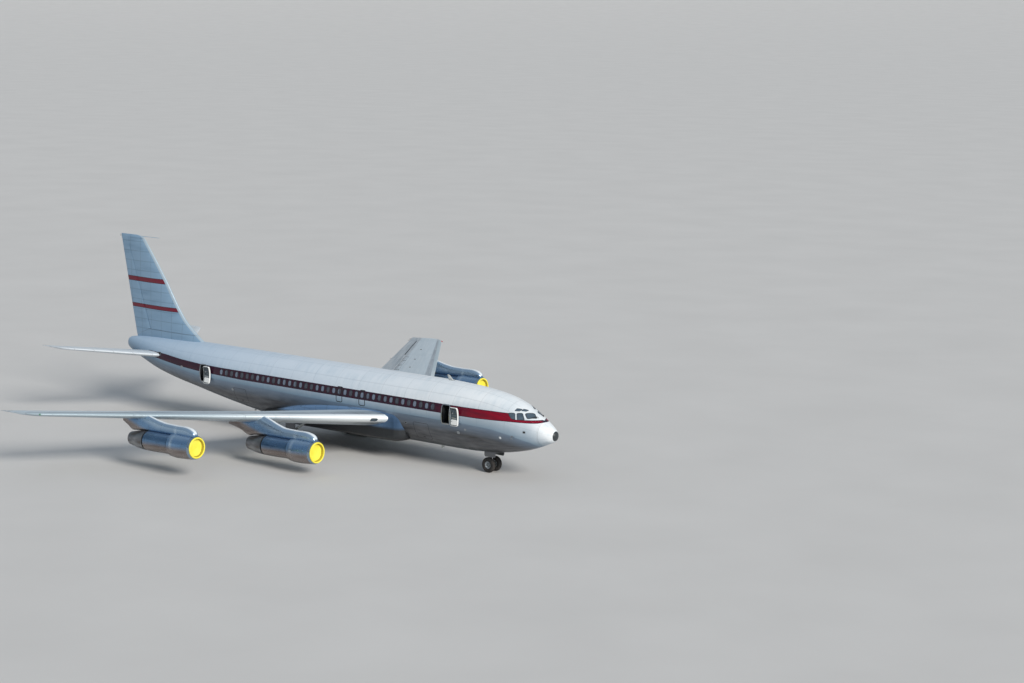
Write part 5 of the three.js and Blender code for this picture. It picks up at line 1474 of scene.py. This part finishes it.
# nose gear doors: thin skins with a stiffened inner face, hinged along the well's edges
doorFirst, doorLast, doorLow = well["first"] + 0.02, 5.48, 1.04
for label, side in sides.items():
    x0, x1 = noseX - doorLast, noseX - doorFirst
    along = np.linspace(x0, x1, 24)
    y0, y1 = side * 0.433, side * 0.459
    top = bellyHeight(along, 0.44 + 0 * along) - 0.002
    cut = doorLow + 0.1 * np.clip(1 - np.minimum(along - x0, x1 - along) / 0.08, 0, 1) ** 2
    rings = [[(a, y0, b + 0.004), (a, y0, c), (a, y1, c), (a, y1, b + 0.004), (a, (y0 + y1) / 2, b)]
        for a, b, c in zip(along, cut, top)]
    plate = lofted(np.array(rings), paint=0)
    stiff = [block((a - 0.014, side * 0.418, doorLow + 0.05), (a + 0.014, y0 + side * 0.004, 1.28), 0.006, 1)
        for a in np.linspace(x0 + 0.1, x1 - 0.1, 5)]
    stiff.append(block((x0 + 0.06, side * 0.42, doorLow + 0.03),
        (x1 - 0.06, y0 + side * 0.004, doorLow + 0.055), 0.006, 1))
    stiff.append(strut(((x0 + x1) / 2, side * 0.415, 1.2), ((x0 + x1) / 2 + 0.05, side * 0.3, 1.62), 0.014, 0.024, 1))
    makePiece(f"nose_gear_door_{label}_skin", [plate, *stiff], [bellyMetal, primer],
        replaced=(f"nose_gear_door_{label}",), values=lengthValues)


def wingUnder(x, y, side):
    # height of the wing's lower skin above a point: its share of the chord, then the section there
    frontX, frontZ, rearX, rearZ = wingEdges(np.abs(y))
    share = np.clip((frontX - x) / (frontX - rearX), 0, 1)
    return planePoint(wingOf(side), np.abs(y), share, -1)[..., 2]


# main gear: leg, sliding tube, yoke, links, stays and lines, a four-wheel bogie with brakes, and the leg's door
for label, side in sides.items():
    x, y, axle = noseX - mainStation, side * mainReach, mainWheel["radius"]
    leg = [turned([(0, 0), (0, 0.115), (0.015, 0.13), (0.05, 0.14), (0.09, 0.15), (0.15, 0.15), (0.16, 0.136),
        (0.48, 0.134), (0.49, 0.15), (0.56, 0.15), (0.57, 0.136), (1.08, 0.136), (1.08, 0)], (x, y, 1.05), (0, 0, 1),
        44), turned([(0, 0), (0, 0.098), (0.24, 0.098), (0.24, 0)], (x, y, 0.82), (0, 0, 1), 40, 1),
        block((x - 0.11, y - 0.16, axle + 0.215), (x + 0.11, y + 0.16, axle + 0.29), 0.02)]
    for s in (1, -1):
        cheek = y + s * 0.135
        leg.append(block((x - 0.1, cheek - 0.022, axle - 0.1), (x + 0.1, cheek + 0.022, axle + 0.27), 0.02))
        leg.append(rod((x, cheek - s * 0.01, axle), (x, cheek + s * 0.04, axle), 0.06, 24, 0.008, 2))
    leg += links((x - 0.15, y, 1.12), (x - 0.1, y, 0.86), (x - 0.34, y, 0.985), 0.07)
    wall = side * 1.96
    leg.append(strut((x, y - side * 0.1, 1.2),
        (x, wall, 1.2 + 0.57 * (abs(y) - 0.1 - 1.96) / (abs(y) - 1.55)), 0.05, 0.066))
    leg.append(strut((x + 0.08, y, 1.27), (x + 1.44, y, 2.13), 0.054, 0.07))
    leg.append(strut((x - 0.05, y + side * 0.02, 1.62),
        (x - 0.9, y + side * 0.04, wingUnder(x - 0.9, y, side) + 0.06), 0.034, 0.05))
    t = np.linspace(0, 1, 30)
    for offset, radius in ((0.05, 0.012), (-0.03, 0.012), (-0.08, 0.009)):
        hose = np.stack([x + 0.155 + 0.05 * np.sin(np.pi * t) * (1 - t),
            y + offset + 0.03 * np.sin(5 * t), 2.08 - 1.15 * t], -1)
        leg.append(tube(hose, radius, 8, 3))
    makePiece(f"{label}_main_leg_strut", leg, [gearEnamel, chrome, trim, seal],
        replaced=(f"{label}_main_gear_leg",))

    span, deep = bogieHalf + 0.06, 0.09
    along = np.linspace(-span, span, 29)
    swell = 0.072 + 0.02 * np.exp(-((np.abs(along) - bogieHalf) / 0.16) ** 2) + 0.03 * np.exp(-((along / 0.18) ** 2))
    t = np.linspace(0, 2 * np.pi, 32, endpoint=False)
    wide, tall = (np.sign(c) * np.abs(c) ** 0.6 for c in (np.cos(t), np.sin(t)))
    rings = np.stack(np.broadcast_arrays((x + along)[:, None], y + np.minimum(swell, 0.1)[:, None] * wide,
        axle + np.minimum(swell, deep)[:, None] * tall), -1)
    beam = [lofted(rings)]
    for offset in (-bogieHalf, bogieHalf):
        beam.append(turned([(0, 0.05), (0, 0.09), (0.012, 0.105), (0.388, 0.105), (0.4, 0.09), (0.4, 0.05)],
            (x + offset, y - 0.2, axle), (0, 1, 0), 32))
        for s in (1, -1):
            beam.append(turned([(0, 0.06), (0, 0.2), (0.01, 0.205), (0.045, 0.205), (0.055, 0.195), (0.055, 0.06)],
                (x + offset, y + s * 0.14 - 0.0275, axle), (0, 1, 0), 36, 2))
            beam.append(
                tube(
                np.stack([x + offset * np.linspace(0.35, 1.0, 12), np.full(12, y + s * 0.1),
                axle + 0.1 + 0.05 * np.sin(np.linspace(0, np.pi, 12))], -1), 0.01, 8, 3))
    beam.append(strut((x + 0.14, y, axle + 0.25), (x + 0.56, y, axle + 0.11), 0.03, 0.042))
    makePiece(f"{label}_bogie", beam, [gearEnamel, chrome, hotSteel, seal], replaced=(f"{label}_bogie_beam",),
        values=aroundValues(np.array([x, y, axle])))
    for end, offset in (("aft", -bogieHalf), ("forward", bogieHalf)):
        wheelPair(f"{label}_{end}_main_wheels", mainWheel, x + offset, y)

    low, inner = 1.265, y + side * 0.19
    along = np.linspace(x - 0.418, x + 0.418, 30)
    top = wingUnder(along, inner + side * 0.02 + 0 * along, side) - 0.004
    bulge = 0.012 * np.cos(np.pi * (along - x) / 0.84)
    foot = low + 0.05 * np.clip((np.abs(along - x) - 0.33) / 0.09, 0, 1) ** 2
    rows = [[(a, inner, c), (a, inner, d), (a, inner + side * (0.02 + b), d), (a, inner + side * (0.02 + b), c)]
        for a, b, c, d in zip(along, bulge, foot, top)]
    plate = lofted(np.array(rows))
    stiff = [block((a - 0.012, inner - side * 0.012, low + 0.05), (a + 0.012, inner + side * 0.004, 1.9), 0.005, 1)
        for a in np.linspace(x - 0.32, x + 0.32, 5)]
    stiff += [block((x - 0.38, inner - side * 0.014, z - 0.014), (x + 0.38, inner + side * 0.004, z + 0.014),
        0.005, 1) for z in (1.36, 1.62, 1.86)]
    stiff.append(rod((x, y + side * 0.14, 1.45), (x, inner + side * 0.004, 1.45), 0.034, 18, 0.006, 1))
    makePiece(f"{label}_main_gear_door_skin", [plate, *stiff], [bellyMetal, gearEnamel],
        replaced=(f"{label}_main_gear_door",), values=lengthValues)
print("landing gear ready")


# Stage 9: aerials, probes, lamps and small fittings

# glass-fibre aerial housings, cream paint gone matt
aerial, add, shader = newMaterial("painted glass fibre", {"Roughness": 0.5})
chalk = add("TexNoise", Vector=add("TexCoord", output=3), Scale=18.0, Detail=6.0)
feed(shader, {"Base Color": add("Mix", add("MapRange", chalk, 0.35, 0.7), "#dfe2df", "#a5aaa8")})


def lens(name, light, dark):
    # moulded coloured glass: fine ribs under a hard gloss
    material, add, shader = newMaterial(name, {"Roughness": 0.12, "Coat Weight": 0.6})
    ribs = add("TexWave", Vector=add("TexCoord", output=3), Scale=60.0, Distortion=0.2)
    feed(shader, {"Base Color": add("Mix", ribs, light, dark)})
    return material


redLens, greenLens = lens("red lamp glass", "#c22a2a", "#7d1418"), lens("green lamp glass", "#2fa166", "#14603a")

aerials = [  # station, height above (or below) the skin, root chord, tip chord, sweep, thickness
    (8.62, 0.36, 0.42, 0.2, 0.28, 0.035), (9.2, -0.3, 0.3, 0.16, 0.2, 0.03), (26.3, -0.28, 0.32, 0.17, 0.22, 0.03)]


def blade(foot, rise, chords, sweep, thick, toward=(0, 0, 1)):
    # lens sections from root to tip: half the thickness times the sine to the power 1.3, the last ones drawn in
    t = np.concatenate([np.linspace(0, 0.9, 6), [0.95, 0.98, 0.995]])
    grow = np.where(t > 0.9, np.sqrt(np.clip(1 - ((t - 0.9) / 0.1) ** 2, 0.02, 1)), 1)
    turn = np.linspace(0, 2 * np.pi, 24, endpoint=False)
    chord = (chords[0] + (chords[1] - chords[0]) * t) * grow
    x = -sweep * t[:, None] + chord[:, None] / 2 * np.cos(turn)
    y = thick / 2 * (grow * (1 - 0.4 * t))[:, None] * np.sin(turn) * np.abs(np.sin(turn)) ** 0.3
    lift = rise * np.broadcast_to(t[:, None], x.shape)
    up, out = np.asarray(toward, float), np.cross(toward, (1, 0, 0))
    return lofted(np.asarray(foot) + x[..., None] * (1, 0, 0) + y[..., None] * out + lift[..., None] * up)


def bellyOrCrown(station, above):
    # a point 20 mm inside the skin on the crown or the keel
    half, top, bottom, waist = (float(v) for v in bodySize(station))
    return (noseX - station, 0.0, top - 0.02 if above else bottom + 0.02)


fittings = [blade(bellyOrCrown(s, h > 0), h, (root, tip), sweep, thick) for s, h, root, tip, sweep, thick in aerials]
for station, rise, *shape in aerials:
    fittings.append(inlaid(onCorners(cornersAbout(station, 90 if rise > 0 else 270, 0.26, 2), -1), (1, 1), 0.45,
        [(0.0, -0.02, 1), (0.0, 0.006, 1), (-0.02, 0.01, 1)], 32))
makePiece("blade_aerials", fittings, [aerial, trim])

# the beacon under the body: a ribbed red dome in a bright ring
foot, down = (noseX - 15.9, 0, 1.19), (0, 0, -1)
beacon = [turned([(-0.02, 0), (-0.02, 0.12), (0.03, 0.12), (0.045, 0.105), (0.045, 0)], foot, down, 32, 1),
    turned([(0.04, 0), (0.04, 0.085), (0.1, 0.083), (0.135, 0.07), (0.158, 0.045), (0.166, 0)], foot, down, 32)]
makePiece("belly_beacon", beacon, [redLens, trim])

# pitot tubes, static plates, vents and drains of the forward body, with the small round lamp low on each side
small = []
for side in (1, -1):
    for station, z in ((2.55, 2.86), (2.62, 2.72)):
        foot = sidePoint(station, z, 0.0, side)
        neck = foot + np.array([0.02, side * 0.09, 0])
        small += [
            tube(
            np.array([foot - (0, side * 0.03, 0), foot + (0.01, side * 0.05, 0), neck, neck + (0.05, side * 0.012, 0)]),
            0.018, 12, 0), rod(neck + (0.03, side * 0.01, 0), neck + (0.26, side * 0.012, 0), 0.013, 16, 0.004, 0),
            rod(neck + (0.25, side * 0.012, 0), neck + (0.29, side * 0.012, 0), 0.009, 12, 0.002, 2)]
        small.append(inlaid(onSide(station, z, side), (0.16, 0.09), 0.03,
            [(0, -0.02, 0), (0, 0.004, 0), (-0.01, 0.008, 0)], 24))
    for station, z, size, paint in ((1.75, 3.2, 0.16, 2), (6.0, 2.9, 0.14, 0), (6.6, 2.62, 0.2, 0),
            (11.0, 2.7, 0.16, 2), (26.9, 2.95, 0.18, 0), (32.2, 3.9, 0.2, 0), (34.9, 4.5, 0.3, 2)):
        small.append(inlaid(onSide(station, z, side), (size, size * 0.8), 0.04,
            [(0.01, -0.02, 0), (0.01, 0.006, 0), (-0.012, 0.008, 0), (-0.02, 0.002, paint)], 24))
    lamp = onSide(3.37, 2.69, side)
    small.append(inlaid(lamp, (0.17, 0.17), 0.085,
        [(0.012, -0.02, 0), (0.012, 0.012, 0), (-0.012, 0.016, 0), (-0.014, 0.012, 1),
        (-0.04, 0.022, 1), (-0.07, 0.028, 1)], 32))
makePiece("probes_vents_and_lamps", small, [trim, lampGlass, seal])


def onWing(side, reach, share, face):
    # a place() for inlaid: u runs out along the wing, v forward from a share of the chord
    chord = wingEdges(np.asarray(reach))[0] - wingEdges(np.asarray(reach))[2]
    return lambda u, v, lift: planePoint(wingOf(side), reach + u, share - v / chord, face, lift)


# wing and tail: landing lights, tip lamps, wicks, filler caps, spoiler gaps and jacking pads
for label, side in sides.items():
    def noseOfWing(reach, drop):
        # u runs out along the leading edge, v round it from the lower to the upper skin
        def place(u, v, lift):
            chord = wingEdges(np.asarray(reach + u))[0] - wingEdges(np.asarray(reach + u))[2]
            at = v - drop
            return planePoint(wingOf(side), reach + u, (at / 0.75) ** 2 / chord, np.where(at >= 0, 1, -1), lift)
        return place

    parts = [inlaid(noseOfWing(2.66, 0.16), (0.3, 0.24), 0.05,
        [(0.03, -0.02, 1), (0.03, 0.008, 1), (0.0, 0.01, 1), (-0.015, 0.004, 4)], 40, 3)]
    tipX, tipZ = (float(v) for v in wingEdges(np.array(19.45))[:2])
    parts.append(turned([(-0.30, 0), (-0.2, 0.03), (-0.08, 0.055), (0.02, 0.06), (0.1, 0.045), (0.15, 0.02), (0.16, 0)],
        (tipX - 0.06, side * 19.45, tipZ), (0.8, side * 0.6, 0), 24, 2))
    for reach in (3.4, 5.6, 9.0, 11.2, 13.4, 16.2):
        parts.append(inlaid(onWing(side, reach, 0.45, 1), (0.2, 0.2), 0.1,
            [(0.0, -0.01, 1), (0.0, 0.004, 3), (-0.02, 0.006, 3), (-0.06, 0.003, 1)], 28))
    for inner, outer, count in ((2.6, 6.8, 3), (9.6, 14.3, 4)):
        width = (outer - inner) / count
        for k in range(count):
            middle = inner + width * (k + 0.5)
            plate = lambda u, v, lift, m=middle: planePoint(wingOf(side), m + u, 0.665 - v * 0.085, 1, lift)
            parts.append(band(plate, (width - 0.03, 1.0), 0.03, -0.018, 0.006, -0.004, 0.004, 1, 72))
    for reach in np.linspace(3.4, 18.4, 16):
        parts.append(inlaid(onWing(side, reach, 0.36, -1), (0.42, 0.26), 0.12,
            [(0.0, -0.01, 1), (0.0, 0.003, 3), (-0.02, 0.004, 3)], 32))
    for edges, reaches in ((wingEdges, (14.2, 19.1, 19.35, 19.6)), (tailEdges, (6.45, 6.58))):
        for reach in reaches:
            x, z = (float(v) for v in edges(np.array(reach))[2:])
            parts.append(rod((x + 0.03, side * reach, z), (x - 0.17, side * reach, z - 0.005), 0.008, 8, 0.002, 1))
    foot = np.array([noseX - 18.10, side * 6.20, 2.38])
    parts.append(turned([(0, 0), (0, 0.045), (0.012, 0.058), (0.02, 0.07), (0.3, 0.07), (0.32, 0.09), (0.42, 0.1),
        (0.42, 0)], foot, (0, 0, 1), 32, 3))
    makePiece(f"{label}_wing_fittings", parts, [lampGlass, seal, redLens if side > 0 else greenLens, trim, glass])

pad = turned([(0, 0), (0, 0.045), (0.012, 0.058), (0.02, 0.07), (0.06, 0.07), (0.07, 0.1), (0.09, 0.105), (0.16, 0.105),
    (0.16, 0)], (noseX - 6.45, 0, 1.205), (0, 0, 1), 32)
wicks = [rod((x + 0.03, 0, h), (x - 0.17, 0, h), 0.008, 8, 0.002)
    for x, h in ((noseX - float(columnAt(finTable, 3, h)), h) for h in (12.55, 12.62))]
tailLamp = turned([(-0.02, 0), (-0.02, 0.075), (0.02, 0.075), (0.05, 0.06), (0.075, 0.03), (0.08, 0)],
    (noseX - 39.26, 0, 4.79), (-1, 0, 0), 24)
makePiece("jacking_pad_and_tail_fittings",
    [pad, *[painted(w, 1) for w in wicks], painted(tailLamp, 2)], [trim, seal, lampGlass])
print("small fittings ready")


low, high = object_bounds()
{"solids": [list(v) for v in solidBounds], "scene": [list(low), list(high)]}
